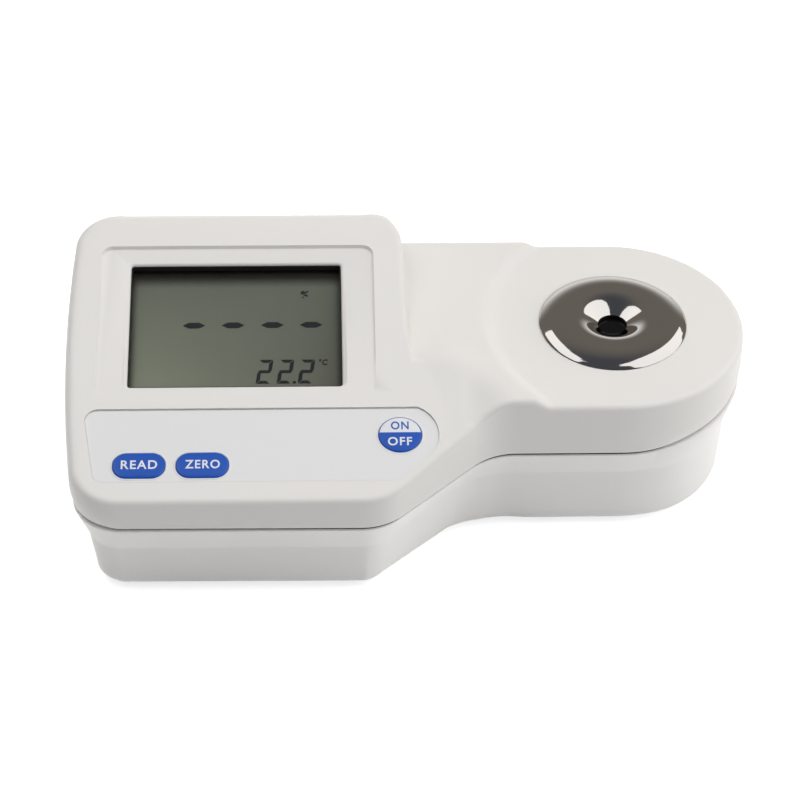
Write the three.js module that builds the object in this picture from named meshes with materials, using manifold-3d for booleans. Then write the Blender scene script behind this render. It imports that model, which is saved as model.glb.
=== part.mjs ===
// A bench refractometer with a digital display. Millimetres, +Z up, front towards -Y.
// The origin is on the bench, under the middle of the casing's length and depth.
import * as THREE from 'three'
import { mergeVertices } from 'three/addons/utils/BufferGeometryUtils.js'
import Module from 'manifold-3d'

const wasm = await Module()
wasm.setup()

const radians = THREE.MathUtils.degToRad
const arcSine = (share) => THREE.MathUtils.radToDeg(Math.asin(share))

// Plan of the casing
const halfLength = 96.65
const halfDepth = 51
const headRadius = 37.11
const cornerRadius = 14
const leftBowRadius = 400
const leftBowCentreY = 5
const displayWallX = 0.7
const frontCornerInset = 8.29
const diagonalAngle = 42.4
const frontBendRadius = 16.3
const neckBendRadius = 18

// Planes of the casing: height over the front line, and rise for each millimetre towards the back
const parting = { front: 26.244, riseShare: 0.1394 }
const panel = { front: 35.7, riseShare: 0.309 }
const plateau = { front: 46.457, riseShare: 0.0717 }
const headTop = { front: 43.79, riseShare: 0.0814 }

// Display body, step to the head, and the scoop where the wing climbs to the neck
const wallFootReach = 21.62
const displayWallFootRadius = 3
const displayBackRadius = 13
const stepOffset = { x: 14.61, y: -0.39 }
const stepUpperRadius = 52.4
const stepLowerRadius = 48.9
const scoopOffset = { x: -2, y: 18 }
const scoopRadius = 29.5
const scoopRiseShare = 0.45
const scoopFacetAngles = [84, 66, 48, 30, 12]
const frontEdgeRadius = 2
const leftEdgeRadius = 3
const crestRadius = 5.7
const wallEdgeRadius = 1.8
const blockOverlap = 8.7
const hiddenCorner = 4
const hiddenEdge = 0.5
const neckRootShare = 0.53
const wingReach = 11.22

// Shells
const upperWall = 2.5
const lowerWall = 2.3
const caseGap = 1.5
const rimInset = 0.9
const creaseInset = 4.4
const creaseDrop = 10.3
const baseInset = 5.4
const baseRadius = 5
const baseHeight = 0.8
const gasketInset = 1.9
const gasketWidth = 1.4
const overrun = 5

// Clearances
const seatGap = 0.1
const fitGap = 0.3
const slideGap = 0.25

// Facets on round shapes
const roundSides = 36
const ringSides = 40
const smallSides = 12
const edgeSteps = 3
const headSteps = 24
const samePlace = 0.001

// Main lines and centres of the plan
const leftX = -halfLength
const frontY = -halfDepth
const headX = halfLength - headRadius
const headY = halfDepth - headRadius
const neckFrontY = halfDepth - 2 * headRadius
const frontCornerX = displayWallX - frontCornerInset
const leftBowX = leftBowRadius - halfLength
const bendTangent = Math.tan(radians(diagonalAngle / 2))
const diagonalRun = 1 / Math.tan(radians(diagonalAngle))
const neckCornerX = frontCornerX + (neckFrontY - frontY) * diagonalRun
const neckBendX = neckCornerX + neckBendRadius * bendTangent
const neckBendY = neckFrontY - neckBendRadius
const stepCentreX = headX + stepOffset.x
const stepCentreY = headY + stepOffset.y
const scoopCentreX = displayWallX + scoopOffset.x
const scoopCentreY = frontY + scoopOffset.y
const panelTilt = Math.atan(panel.riseShare)
const headTilt = Math.atan(headTop.riseShare)
const panelLength = 2 * halfDepth / Math.cos(panelTilt)

// Keypad: x along the casing, s up the panel from its front line
const keyWidth = 14.64
const keyHeight = 8.7
const keyCorner = 4
const keyProud = 0.15
const keyCapDepth = 2.9
const flangeMargin = 1.2
const flangeThickness = 1
const plungerRadius = 2
const readKeyInset = 21.85
const keySpacing = 17.3
const keyRowS = 12.52
const powerKeyInset = 3.86
const powerKeyS = 22.38
const powerKeyRadius = 6.1
const readKey = { x: leftX + readKeyInset, s: keyRowS }
const zeroKey = { x: readKey.x + keySpacing, s: keyRowS }
const powerKey = { x: displayWallX - powerKeyInset, s: powerKeyS, radius: powerKeyRadius }
const keyTravel = 0.5
const switchSize = 6
const switchHeight = 3
const stemRadius = 1.6
const stemHeight = 0.4
const filmInset = 6.45
const filmLowInset = 9.25
const film = {
  x0: leftX + filmInset, x1: leftX + filmLowInset, s0: 7, s1: 31.8, topCorner: 3.7, lowCorner: 3,
  keyArc: 10.75, keyCorner: 2, thickness: 0.25, sink: 0.85, sinkLow: 0.3,
}

// Display: margins from the left end, the display wall, the film and the back edge
const openingMargin = { left: 17.7, right: 19.45, film: 7.6, back: 23.66 }
const recessMargin = { left: 8.95, right: 10, film: 5.2, back: 16.46 }
const opening = {
  x0: leftX + openingMargin.left, x1: displayWallX - openingMargin.right,
  s0: film.s1 + openingMargin.film, s1: panelLength - openingMargin.back,
  bevel: 1.5, depth: 3.3, corner: 0.6,
}
const displayRecess = {
  x0: leftX + recessMargin.left, x1: displayWallX - recessMargin.right,
  s0: film.s1, fade: film.s1 + recessMargin.film, s1: panelLength - recessMargin.back,
  depth: 1, corner: 3.5,
}
const windowMargin = 1.2
const windowThickness = 1
const glassThickness = 2.2
const holderWall = 1.7
const stripWidth = 2
const stripMargin = 2.1
const boardDepth = 9
const boardThickness = 1.6

// Main board, its screws and the parts on it
const boardMargin = { left: 15.15, right: 11.7, front: 8.5, back: 14.26, notch: 20.7, tab: 3.8, film: 3.2 }
const board = {
  x0: leftX + boardMargin.left, x1: displayWallX - boardMargin.right,
  s0: boardMargin.front, s1: panelLength - boardMargin.back,
  corner: 1.5, notchX: displayWallX - boardMargin.notch, notchS: 16,
}
const boardTab = { x1: displayWallX + boardMargin.tab, s1: film.s1 + boardMargin.film }
const boardScrewInset = 4
const boardScrewBack = 3
const boardScrewFront = 6
const boardScrewPlaces = [
  [board.x0 + boardScrewInset, board.notchS + 2 * boardScrewFront],
  [board.x0 + boardScrewInset, board.s1 - boardScrewBack],
  [board.x1 - boardScrewInset, board.s1 - boardScrewBack],
  [board.notchX - boardScrewInset, board.notchS + boardScrewFront],
]
const boardBossRadius = 2.6
const boardScrew = { shank: 1.1, head: 2, headHeight: 1.3, length: 6 }
const chip = { x: (board.x0 + board.x1) / 2, s: (opening.s0 + opening.s1) / 2, width: 12, height: 1.6 }

// Sample ring and its optics
const ringOffset = { x: -0.52, y: 0.04 }
const ring = {
  x: headX + ringOffset.x, y: headY + ringOffset.y, radius: 21.3,
  crestRadius: 11, crestHeight: 3, bore: 4.2, boreDrop: 0.6,
}
const ringHubRadius = 17
const ringHubDepth = 2.5
const sealPocket = { radius: 5.9, top: 0.9, bottom: 1.7 }
const prismPocketRadius = 8.6
const prismTop = { length: 13, width: 9 }
const prismHeight = 5
const blockFlange = { radius: 20.5, top: 2.6, thickness: 3 }
const blockHalfLength = 20
const blockHalfWidth = 9
const blockShoulderDepth = 8
const blockDepth = 19
const lightBoreRadius = 4.3
const lensRadius = 4
const lensThickness = 2.4
const lensPlace = 6
const lampRadius = 2.5
const lampLength = 5
const sensorSize = { width: 5.6, length: 5.6, height: 2 }
const opticBoard = { length: 13, width: 15, thickness: 1.6 }
const ringScrewRadius = 14
const ringScrewAngles = [60, 120, 240, 300]
const ringScrew = { shank: 1.4, head: 2.6, headHeight: 1.6, reach: 1.6 }
const probe = { radius: 1.2, place: 11, height: 4 }

// Flat cable from the ring's sensor to a socket on the main board
const cableOffset = 1.93
const cable = { width: 8, thickness: 0.4, y: ring.y - cableOffset }
const socketInset = 17.7
const socketSize = { width: 4, depth: 10, height: 2.5 }
const socketDrop = boardDepth + boardThickness + socketSize.height / 2
const socketS = (cable.y - frontY - socketDrop * Math.sin(panelTilt)) / Math.cos(panelTilt)
const socket = { x: displayWallX - socketInset, s: socketS, ...socketSize }

// Battery and its cover, under the middle of the display body
const batteryOffset = 2.975
const batteryCentreX = (leftX + displayWallX) / 2 + batteryOffset
const battery = { length: 46.4, width: 26.5, height: 17.5, corner: 2 }
const snap = { thickness: 3, width: 24, height: 13 }
const cupClearance = 5.28
const cupRadius = Math.hypot(battery.length, battery.width) / 2 + cupClearance
const cupWall = 2
const coverMargin = 2.4
const coverRadius = cupRadius - coverMargin
const coverThickness = 3
const lipThickness = 2
const lugReach = 1.7
const lugThickness = 1.5
const lugAngles = [0, 120, 240]
const lugHalfAngle = 11
const notchHalfAngle = 14
const coverTurn = 35
const coverSealInset = 3.1
const coverSeal = { inner: coverRadius - coverSealInset, width: 1.6, thickness: 1.2 }
const coinSlot = { length: 24, width: 3, depth: 1.4 }
const leadRadius = 0.7
const leadSpacing = 7

// Feet and casing screws, each placed from the nearest walls
const footRadius = 5
const footSink = 1.2
const footInset = { x: 17.65, y: 17 }
const neckFoot = { x: 9.8, y: 14.22 }
const headFoot = { x: 10.46, y: 17.11 }
const footPlaces = {
  front_left: [leftX + footInset.x, frontY + footInset.y],
  back_left: [leftX + footInset.x, halfDepth - footInset.y],
  neck: [neckBendX + neckFoot.x, neckFrontY + neckFoot.y],
  head: [headX + headFoot.x, headY + headFoot.y],
}
const leftScrew = { x: 11.15, y: 29 }
const wallScrewInset = 6.6
const sideScrewInset = 13
const headScrewReach = 25
const neckScrew = { x: 21.3, y: 15.22 }
const screwPlaces = [
  [leftX + leftScrew.x, halfDepth - leftScrew.y],
  [leftX + leftScrew.x, frontY + leftScrew.y],
  [displayWallX - wallScrewInset, halfDepth - sideScrewInset],
  [frontCornerX - wallScrewInset, frontY + sideScrewInset],
  [ring.x + headScrewReach, ring.y],
  [displayWallX + neckScrew.x, neckFrontY + neckScrew.y],
]
const postRadius = 3.3
const postDrop = 4
const postSeat = 3
const caseScrew = { shank: 1.45, head: 2.6, headHeight: 2, reach: 8, hole: 1.75 }

const heightOf = (plane, drop = 0) => (x, y) => plane.front + plane.riseShare * (y - frontY) - drop

// Frames: x along the casing, y up the slope, z out of the surface
const panelFrame = new THREE.Group()
panelFrame.position.set(0, frontY, panel.front)
panelFrame.rotation.x = panelTilt
const headFrame = new THREE.Group()
headFrame.position.set(ring.x, ring.y, heightOf(headTop)(ring.x, ring.y))
headFrame.rotation.x = headTilt
panelFrame.updateMatrixWorld()
headFrame.updateMatrixWorld()

// Solids from geometries, and back
function solid(geometry) {
  const bare = geometry.clone()
  bare.deleteAttribute('normal')
  bare.deleteAttribute('uv')
  const merged = mergeVertices(bare)
  const vertProperties = merged.attributes.position.array
  const triVerts = Uint32Array.from(merged.index.array)
  return new wasm.Manifold(new wasm.Mesh({ numProp: 3, vertProperties, triVerts }))
}

function geometryOf(body) {
  const mesh = body.getMesh()
  const geometry = new THREE.BufferGeometry()
  geometry.setAttribute('position', new THREE.BufferAttribute(mesh.vertProperties, 3))
  geometry.setIndex(new THREE.BufferAttribute(mesh.triVerts, 1))
  geometry.computeVertexNormals()
  return geometry
}

const joined = (parts) => parts.reduce((whole, part) => whole.add(part))
const framed = (geometry, frame) => geometry.clone().applyMatrix4(frame.matrixWorld)

// A closed skin over rings of points, counterclockwise from above, the lowest ring first
function loft(rings) {
  const count = rings[0].length
  const positions = rings.flat().flatMap((point) => [point.x, point.y, point.z])
  const index = []
  for (let row = 1; row < rings.length; row += 1) {
    for (let i = 0; i < count; i += 1) {
      const a = (row - 1) * count + i
      const b = (row - 1) * count + (i + 1) % count
      index.push(a, b, b + count, a, b + count, a + count)
    }
  }
  const top = (rings.length - 1) * count
  for (const [a, b, c] of THREE.ShapeUtils.triangulateShape(rings[0], [])) {
    index.push(c, b, a)
  }
  for (const [a, b, c] of THREE.ShapeUtils.triangulateShape(rings[rings.length - 1], [])) {
    index.push(top + a, top + b, top + c)
  }
  const geometry = new THREE.BufferGeometry()
  geometry.setAttribute('position', new THREE.Float32BufferAttribute(positions, 3))
  geometry.setIndex(index)
  geometry.computeVertexNormals()
  return geometry
}

// An arc of an outline: places with outward normals and the rounding of the edge above them
function arc(x, y, radius, from, to, steps, edge = frontEdgeRadius, edgeTo = edge) {
  const side = Math.sign(to - from)
  return Array.from({ length: steps + 1 }, (_, i) => {
    const angle = radians(THREE.MathUtils.lerp(from, to, i / steps))
    const out = new THREE.Vector2(Math.cos(angle), Math.sin(angle))
    const place = out.clone().multiplyScalar(radius).add(new THREE.Vector2(x, y))
    return { place, out: out.multiplyScalar(side), edge: THREE.MathUtils.lerp(edge, edgeTo, i / steps) }
  })
}

// Arcs that meet share one place, which is kept once
function outlineOf(...arcs) {
  const all = arcs.flat()
  return all.filter(({ place }, i) => place.distanceTo(all[(i + 1) % all.length].place) > samePlace)
}

// One ring of a loft: the outline moved inwards, at a height that can follow a plane
function level(outline, height, inset = 0) {
  return outline.map(({ place, out }) => {
    const point = place.clone().addScaledVector(out, -inset)
    return new THREE.Vector3(point.x, point.y, height(point.x, point.y))
  })
}

function prism(outline, low, high, inset = 0) {
  return loft([level(outline, low, inset), level(outline, high, inset)])
}

const flat = (height) => () => height

// A block whose upper edge is rounded all the way round, with arcs that meet the sloping top smoothly
function roundedBlock(outline, low, high, inset) {
  const rings = [level(outline, low, inset)]
  for (let step = 0; step <= edgeSteps; step += 1) {
    rings.push(outline.map(({ place, out, edge }) => {
      const round = Math.max(edge - inset, hiddenEdge)
      const centre = place.clone().addScaledVector(out, -inset - round)
      const ahead = centre.clone().add(out)
      const tilt = Math.atan(high(ahead.x, ahead.y) - high(centre.x, centre.y))
      const angle = step / edgeSteps * (Math.PI / 2 + tilt)
      const point = centre.clone().addScaledVector(out, round * Math.cos(angle))
      const height = high(centre.x, centre.y) - round / Math.cos(tilt) + round * Math.sin(angle)
      return new THREE.Vector3(point.x, point.y, height)
    }))
  }
  return solid(loft(rings))
}

function roundedRectangle(x0, x1, y0, y1, radius, steps = 4) {
  return [
    ...arc(x1 - radius, y0 + radius, radius, -90, 0, steps),
    ...arc(x1 - radius, y1 - radius, radius, 0, 90, steps),
    ...arc(x0 + radius, y1 - radius, radius, 90, 180, steps),
    ...arc(x0 + radius, y0 + radius, radius, 180, 270, steps),
  ]
}

function rod(radius, low, high, x = 0, y = 0, sides = smallSides) {
  const geometry = new THREE.CylinderGeometry(radius, radius, high - low, sides)
  return geometry.rotateX(Math.PI / 2).translate(x, y, (low + high) / 2)
}

function box(width, depth, low, high, x = 0, y = 0) {
  return new THREE.BoxGeometry(width, depth, high - low).translate(x, y, (low + high) / 2)
}

// A turned shape from [radius, height] pairs, counterclockwise, about the z axis
function turned(profile, sides = roundSides) {
  const points = profile.map(([radius, height]) => new THREE.Vector2(radius, height))
  return new THREE.LatheGeometry(points, sides).rotateX(Math.PI / 2)
}

function tubeRing(inner, outer, low, high, sides = roundSides) {
  return turned([[inner, low], [outer, low], [outer, high], [inner, high], [inner, low]], sides)
}

function screwShape({ shank, head, headHeight, length }) {
  const recess = head / 2
  return turned([
    [0, -headHeight / 2], [recess, -headHeight / 2], [recess, -headHeight], [head, -headHeight], [head, 0],
    [shank, 0], [shank, length - shank], [0, length],
  ], smallSides)
}

function finish(color, roughness, metalness = 0) {
  return new THREE.MeshStandardMaterial({ color, roughness, metalness })
}

const shellWhite = 0xe2e0da
const keyBlue = 0x1f54ac
const rubberBlack = 0x1c1c1c
const steelGrey = 0xb9bbbd
const boardGreen = 0x1f5a34

const refractometer = new THREE.Group()
refractometer.add(panelFrame, headFrame)

function add(name, shape, material, frame = refractometer) {
  const geometry = shape.isBufferGeometry ? shape : geometryOf(shape)
  const mesh = new THREE.Mesh(geometry, material)
  mesh.name = name
  frame.add(mesh)
  return mesh
}

// Outline of the whole casing and its arcs
const cornerReach = leftBowRadius - cornerRadius
const frontLeftAngle = 180 + arcSine((leftBowCentreY - frontY - cornerRadius) / cornerReach)
const backLeftAngle = 180 - arcSine((halfDepth - cornerRadius - leftBowCentreY) / cornerReach)

function cornerCentreX(angle) {
  return leftBowX + cornerReach * Math.cos(radians(angle))
}

const leftEnd = outlineOf(
  ...arc(cornerCentreX(backLeftAngle), halfDepth - cornerRadius, cornerRadius, 90, backLeftAngle, 7,
    crestRadius, leftEdgeRadius),
  ...arc(leftBowX, leftBowCentreY, leftBowRadius, backLeftAngle, frontLeftAngle, 5, leftEdgeRadius),
  ...arc(cornerCentreX(frontLeftAngle), frontY + cornerRadius, cornerRadius, frontLeftAngle, 270, 7,
    leftEdgeRadius, frontEdgeRadius),
  ...arc(frontCornerX - frontBendRadius * bendTangent, frontY + frontBendRadius, frontBendRadius,
    270, 270 + diagonalAngle, 6),
)
const neckBend = arc(neckBendX, neckBendY, neckBendRadius, 90 + diagonalAngle, 90, 6)
const headEnd = arc(headX, headY, headRadius, -90, 90, headSteps)
const casingOutline = [...leftEnd, ...neckBend, ...headEnd]

// The display body with its wing; its edge inside the neck is out of sight
const wingEndX = neckBendX + hiddenCorner / 2
const wingEndY = neckFrontY + wingReach
const displayWallFootY = neckFrontY + wallFootReach
const displayOutline = [
  ...leftEnd,
  ...neckBend,
  ...arc(wingEndX, neckFrontY + hiddenCorner, hiddenCorner, 270, 360, 2, hiddenEdge),
  ...arc(wingEndX, wingEndY - hiddenCorner, hiddenCorner, 0, 110, 2, hiddenEdge),
  ...arc(displayWallX + displayWallFootRadius, displayWallFootY, displayWallFootRadius, 250, 180, 3,
    hiddenEdge, wallEdgeRadius),
  ...arc(displayWallX - displayBackRadius, halfDepth - displayBackRadius, displayBackRadius, 0, 90, 7,
    wallEdgeRadius, crestRadius),
]

// The neck with the head; its left end is inside the display body
const hiddenX = displayWallX - blockOverlap
const neckRootX = THREE.MathUtils.lerp(frontCornerX, neckCornerX, neckRootShare)
const neckRootY = frontY + (neckRootX - frontCornerX) / diagonalRun
const neckOutline = [
  ...arc(hiddenX + hiddenCorner, neckRootY + hiddenCorner, hiddenCorner, 180, 270, 2, hiddenEdge),
  ...arc(neckRootX, neckRootY + hiddenCorner / Math.cos(radians(diagonalAngle)), hiddenCorner,
    270, 270 + diagonalAngle, 2, hiddenEdge),
  ...neckBend,
  ...headEnd,
  ...arc(hiddenX + hiddenCorner, halfDepth - hiddenCorner, hiddenCorner, 90, 180, 2, hiddenEdge),
]

// Everything under a plane, over the whole plan
function underPlane(height) {
  const reach = 2 * halfLength
  const square = roundedRectangle(-reach, reach, -reach, reach, hiddenCorner, 1)
  return solid(prism(square, flat(-reach), height))
}

// One facet of the scoop: it climbs from the wing up to the plateau along a tangent of the scoop's circle
function scoopFacet(angle, drop) {
  const outX = Math.cos(radians(angle))
  const outY = Math.sin(radians(angle))
  const top = heightOf(plateau, drop)
  return underPlane((x, y) => {
    const beyond = (x - scoopCentreX) * outX + (y - scoopCentreY) * outY - scoopRadius
    return top(x, y) + scoopRiseShare * beyond
  })
}

// The upper casing as a full body, a given wall thickness inside its surface
function upperBody(wall, low) {
  const display = roundedBlock(displayOutline, low, heightOf(panel, wall), wall)
  const neck = roundedBlock(neckOutline, low, heightOf(plateau, wall), wall)
  const head = roundedBlock(neckOutline, low, heightOf(headTop, wall), wall)
  const stepTop = heightOf(plateau)(stepCentreX, stepCentreY)
  const stepLow = heightOf(headTop, wall)(stepCentreX, stepCentreY)
  const stepCut = turned([
    [0, stepLow - overrun], [stepLowerRadius + wall, stepLow - overrun], [stepLowerRadius + wall, stepLow],
    [stepUpperRadius + wall, stepTop + overrun / 2], [stepUpperRadius + wall, stepTop + 2 * overrun],
    [0, stepTop + 2 * overrun],
  ]).translate(stepCentreX, stepCentreY, 0)
  const scoop = joined(scoopFacetAngles.map((angle) => scoopFacet(angle, wall)))
  return display.add(neck.subtract(solid(stepCut)).add(head).intersect(scoop))
}

// Film outline, also the outline of its recess: a bowed left side, a slanting front right and an arc
// about the round key
const filmSlant = powerKey.x - powerKey.s + film.keyArc * Math.SQRT2
const filmArcReach = film.keyArc - film.keyCorner
const filmArcEnd = arcSine((film.s1 - film.keyCorner - powerKey.s) / filmArcReach)
const slantTangent = Math.tan(Math.PI / 8)
const filmOutline = [
  ...arc(film.x1 + film.lowCorner, film.s0 + film.lowCorner, film.lowCorner, 188, 270, 4),
  ...arc(filmSlant + film.s0 - film.lowCorner * slantTangent, film.s0 + film.lowCorner, film.lowCorner,
    270, 315, 3),
  ...arc(powerKey.x, powerKey.s, film.keyArc, -45, filmArcEnd, 10),
  ...arc(powerKey.x + filmArcReach * Math.cos(radians(filmArcEnd)), film.s1 - film.keyCorner, film.keyCorner,
    filmArcEnd, 90, 2),
  ...arc(film.x0 + film.topCorner, film.s1 - film.topCorner, film.topCorner, 90, 184, 5),
]
const filmFall = (film.sink - film.sinkLow) / (film.s1 - film.s0)
const filmFloor = (x, s) => -film.sinkLow - filmFall * (s - film.s0)

// Keys, in the panel's frame
const rectangle = (key, margin) => roundedRectangle(
  key.x - keyWidth / 2 - margin, key.x + keyWidth / 2 + margin,
  key.s - keyHeight / 2 - margin, key.s + keyHeight / 2 + margin, keyCorner + margin)
const circle = (key, margin) => {
  return arc(key.x, key.s, key.radius + margin, 0, 360 - 360 / roundSides, roundSides - 1)
}
const keyShapes = { read: [readKey, rectangle], zero: [zeroKey, rectangle], power: [powerKey, circle] }
const plungerEnd = -boardDepth + switchHeight + stemHeight + keyTravel + fitGap

function keySolid([key, outline]) {
  const capTop = (x, s) => filmFloor(x, s) + film.thickness + keyProud
  const cap = prism(outline(key, 0), flat(-keyCapDepth), capTop)
  const flange = prism(outline(key, flangeMargin), flat(-keyCapDepth - flangeThickness), flat(-keyCapDepth))
  const plunger = rod(plungerRadius, plungerEnd, -keyCapDepth, key.x, key.s)
  return joined([cap, flange, plunger].map(solid))
}

function buildTopHousing() {
  const outer = upperBody(0, heightOf(parting))
  let body = outer.subtract(upperBody(upperWall, heightOf(parting, overrun)))
  const pad = displayRim(windowMargin + holderWall + fitGap)
  const padBlock = prism(pad, flat(-opening.depth), flat(-displayRecess.depth))
  const bosses = boardScrewPlaces.map(([x, s]) => rod(boardBossRadius, seatGap - boardDepth, 0, x, s))
  const posts = screwPlaces.map(([x, y]) => {
    return rod(postRadius, postSplit(x, y) + fitGap, heightOf(panel)(x, y) + overrun, x, y)
  })
  const inPanel = [padBlock, ...bosses].map((shape) => framed(shape, panelFrame))
  const added = [...inPanel, ...posts].map(solid)
  body = body.add(joined(added).intersect(outer))
  return body.subtract(joined(topHousingCuts().map(solid)))
}

function displayRim(margin) {
  return roundedRectangle(opening.x0 - margin, opening.x1 + margin, opening.s0 - margin, opening.s1 + margin,
    opening.corner, 2)
}

function topHousingCuts() {
  const recess = displayRecess
  const recessOutline = roundedRectangle(recess.x0, recess.x1, recess.s0, recess.s1, recess.corner)
  const recessFloor = (x, s) => -recess.depth * (s - recess.fade) / (recess.s1 - recess.fade)
  const well = loft([
    level(displayRim(-opening.bevel), flat(-opening.depth - overrun)),
    level(displayRim(-opening.bevel), flat(-opening.depth)),
    level(displayRim(0), flat(-recess.depth / 2)),
    level(displayRim(0), flat(overrun)),
  ])
  const keyHoles = Object.values(keyShapes).map(([key, outline]) => {
    return prism(outline(key, slideGap), flat(-2 * overrun), flat(overrun))
  })
  const pilotHoles = boardScrewPlaces.map(([x, s]) => {
    return rod(boardScrew.shank + slideGap, -boardDepth, -upperWall, x, s)
  })
  const panelCuts = [
    prism(recessOutline, recessFloor, flat(overrun)),
    prism(filmOutline, filmFloor, flat(overrun), -slideGap),
    well,
    ...keyHoles,
    ...pilotHoles,
  ]
  const ringHole = rod(ringHubRadius + fitGap, -2 * overrun, overrun, 0, 0, roundSides)
  const screwHoles = screwPlaces.map(([x, y]) => {
    const split = postSplit(x, y)
    return rod(caseScrew.hole, split, split + caseScrew.reach + fitGap, x, y)
  })
  return [...panelCuts.map((cut) => framed(cut, panelFrame)), framed(ringHole, headFrame), ...screwHoles]
}

// Height where a lower screw post meets the post above it
function postSplit(x, y) {
  return heightOf(parting, postDrop)(x, y)
}

// The lower casing: a rim, a band sloping inwards to a crease, a drafted wall and a rounded base
function lowerBody(wall, rimHeight) {
  const rings = []
  for (let step = edgeSteps; step >= 0; step -= 1) {
    const angle = step / edgeSteps * Math.PI / 2
    const round = baseRadius - wall / 2
    rings.push(level(casingOutline, flat(baseHeight + wall + round * (1 - Math.sin(angle))),
      baseInset + wall + round * (1 - Math.cos(angle))))
  }
  rings.push(level(casingOutline, heightOf(parting, creaseDrop), creaseInset + wall))
  rings.push(level(casingOutline, rimHeight, rimInset + wall))
  return solid(loft(rings))
}

function sector(radius, low, high, angle, halfAngle) {
  const tip = { place: new THREE.Vector2(batteryCentreX, 0), out: new THREE.Vector2(0, 0) }
  const rim = arc(batteryCentreX, 0, radius, angle - halfAngle, angle + halfAngle, 4)
  return prism([tip, ...rim], flat(low), flat(high))
}

const coverTop = baseHeight + coverThickness
const batteryLow = coverTop + fitGap
const cupTop = batteryLow + battery.height + fitGap
const lugLow = baseHeight + lipThickness + fitGap

function buildBottomHousing() {
  const rimHeight = heightOf(parting, caseGap)
  const outer = lowerBody(0, rimHeight)
  const shell = outer.subtract(lowerBody(lowerWall, heightOf(parting, -overrun)))
  const posts = screwPlaces.map(([x, y]) => rod(postRadius, baseHeight, postSplit(x, y), x, y))
  const added = joined(posts.map(solid)).intersect(outer)
  const lipTop = baseHeight + lipThickness
  const lugRadius = coverRadius + lugReach + fitGap
  const notches = lugAngles.map((angle) => {
    return sector(lugRadius, -overrun, lipTop + fitGap, angle + coverTurn, notchHalfAngle)
  })
  const footSeats = Object.values(footPlaces).map(([x, y]) => {
    return rod(footRadius + slideGap, -overrun, baseHeight + footSink, x, y)
  })
  const screwHoles = screwPlaces.flatMap(([x, y]) => [
    rod(caseScrew.hole, 0, postSplit(x, y) + overrun, x, y),
    rod(caseScrew.head + fitGap, -overrun, postSplit(x, y) - postSeat, x, y),
  ])
  const cuts = [
    rod(cupRadius, lipTop, cupTop, batteryCentreX, 0, roundSides),
    rod(coverRadius + fitGap, -overrun, lipTop + fitGap, batteryCentreX, 0, roundSides),
    ...notches,
    ...footSeats,
    ...screwHoles,
  ]
  return shell.add(added).subtract(joined(cuts.map(solid)))
}

// The cup that closes the battery space towards the inside, on the floor of the lower casing
function buildCup() {
  const low = baseHeight + lowerWall + seatGap
  const wall = tubeRing(cupRadius, cupRadius + cupWall, low, cupTop + cupWall)
  const lid = rod(cupRadius + cupWall / 2, cupTop, cupTop + cupWall, 0, 0, roundSides)
  const slotWidth = leadSpacing + 2 * overrun
  const slot = box(4 * overrun, slotWidth, cupTop / 2, cupTop - overrun / 2, cupRadius, 0)
  return solid(wall).add(solid(lid)).subtract(solid(slot)).translate([batteryCentreX, 0, 0])
}

function buildGasket() {
  const low = heightOf(parting, caseGap - seatGap)
  const high = heightOf(parting, seatGap)
  const outer = solid(prism(casingOutline, low, high, gasketInset))
  const over = solid(prism(casingOutline, heightOf(parting, overrun), heightOf(parting, -overrun),
    gasketInset + gasketWidth))
  return outer.subtract(over)
}

function buildCasing() {
  add('top_housing', buildTopHousing(), finish(shellWhite, 0.42))
  add('bottom_housing', buildBottomHousing(), finish(shellWhite, 0.45))
  add('housing_gasket', buildGasket(), finish(rubberBlack, 0.8))
  for (const [name, [x, y]] of Object.entries(footPlaces)) {
    add(`foot_${name}`, rod(footRadius, 0, baseHeight + footSink - seatGap, x, y), finish(rubberBlack, 0.85))
  }
  screwPlaces.forEach(([x, y], i) => {
    const seat = postSplit(x, y) - postSeat - seatGap
    const length = postSeat + seatGap + caseScrew.reach
    const screw = screwShape({ ...caseScrew, length }).translate(x, y, seat)
    add(`housing_screw_${i + 1}`, screw, finish(steelGrey, 0.35, 1))
  })
}

function buildDisplay() {
  const windowTop = -opening.depth - seatGap
  const glassTop = windowTop - windowThickness - seatGap
  const glassLow = glassTop - glassThickness
  const boardTop = -boardDepth
  const glassOutline = displayRim(windowMargin)
  const holderOuter = solid(prism(displayRim(windowMargin + slideGap + holderWall), flat(boardTop + seatGap),
    flat(windowTop)))
  const holderHole = solid(prism(displayRim(windowMargin + slideGap), flat(-3 * overrun), flat(0)))
  add('display_window', prism(glassOutline, flat(windowTop - windowThickness), flat(windowTop)),
    finish(0xdfe6e2, 0.08), panelFrame)
  add('lcd_holder', holderOuter.subtract(holderHole), finish(0x2b2b2d, 0.6), panelFrame)
  add('lcd_panel', prism(glassOutline, flat(glassLow), flat(glassTop)), finish(0x6e7665, 0.3), panelFrame)
  const middleX = (opening.x0 + opening.x1) / 2
  const stripLength = opening.x1 - opening.x0 - 2 * stripMargin
  const stripEnds = { lower: opening.s0 + stripWidth / 2, upper: opening.s1 - stripWidth / 2 }
  for (const [name, s] of Object.entries(stripEnds)) {
    const strip = box(stripLength, stripWidth, boardTop + seatGap, glassLow - seatGap, middleX, s)
    add(`zebra_strip_${name}`, strip, finish(0x8d8f86, 0.8), panelFrame)
  }
}

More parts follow.
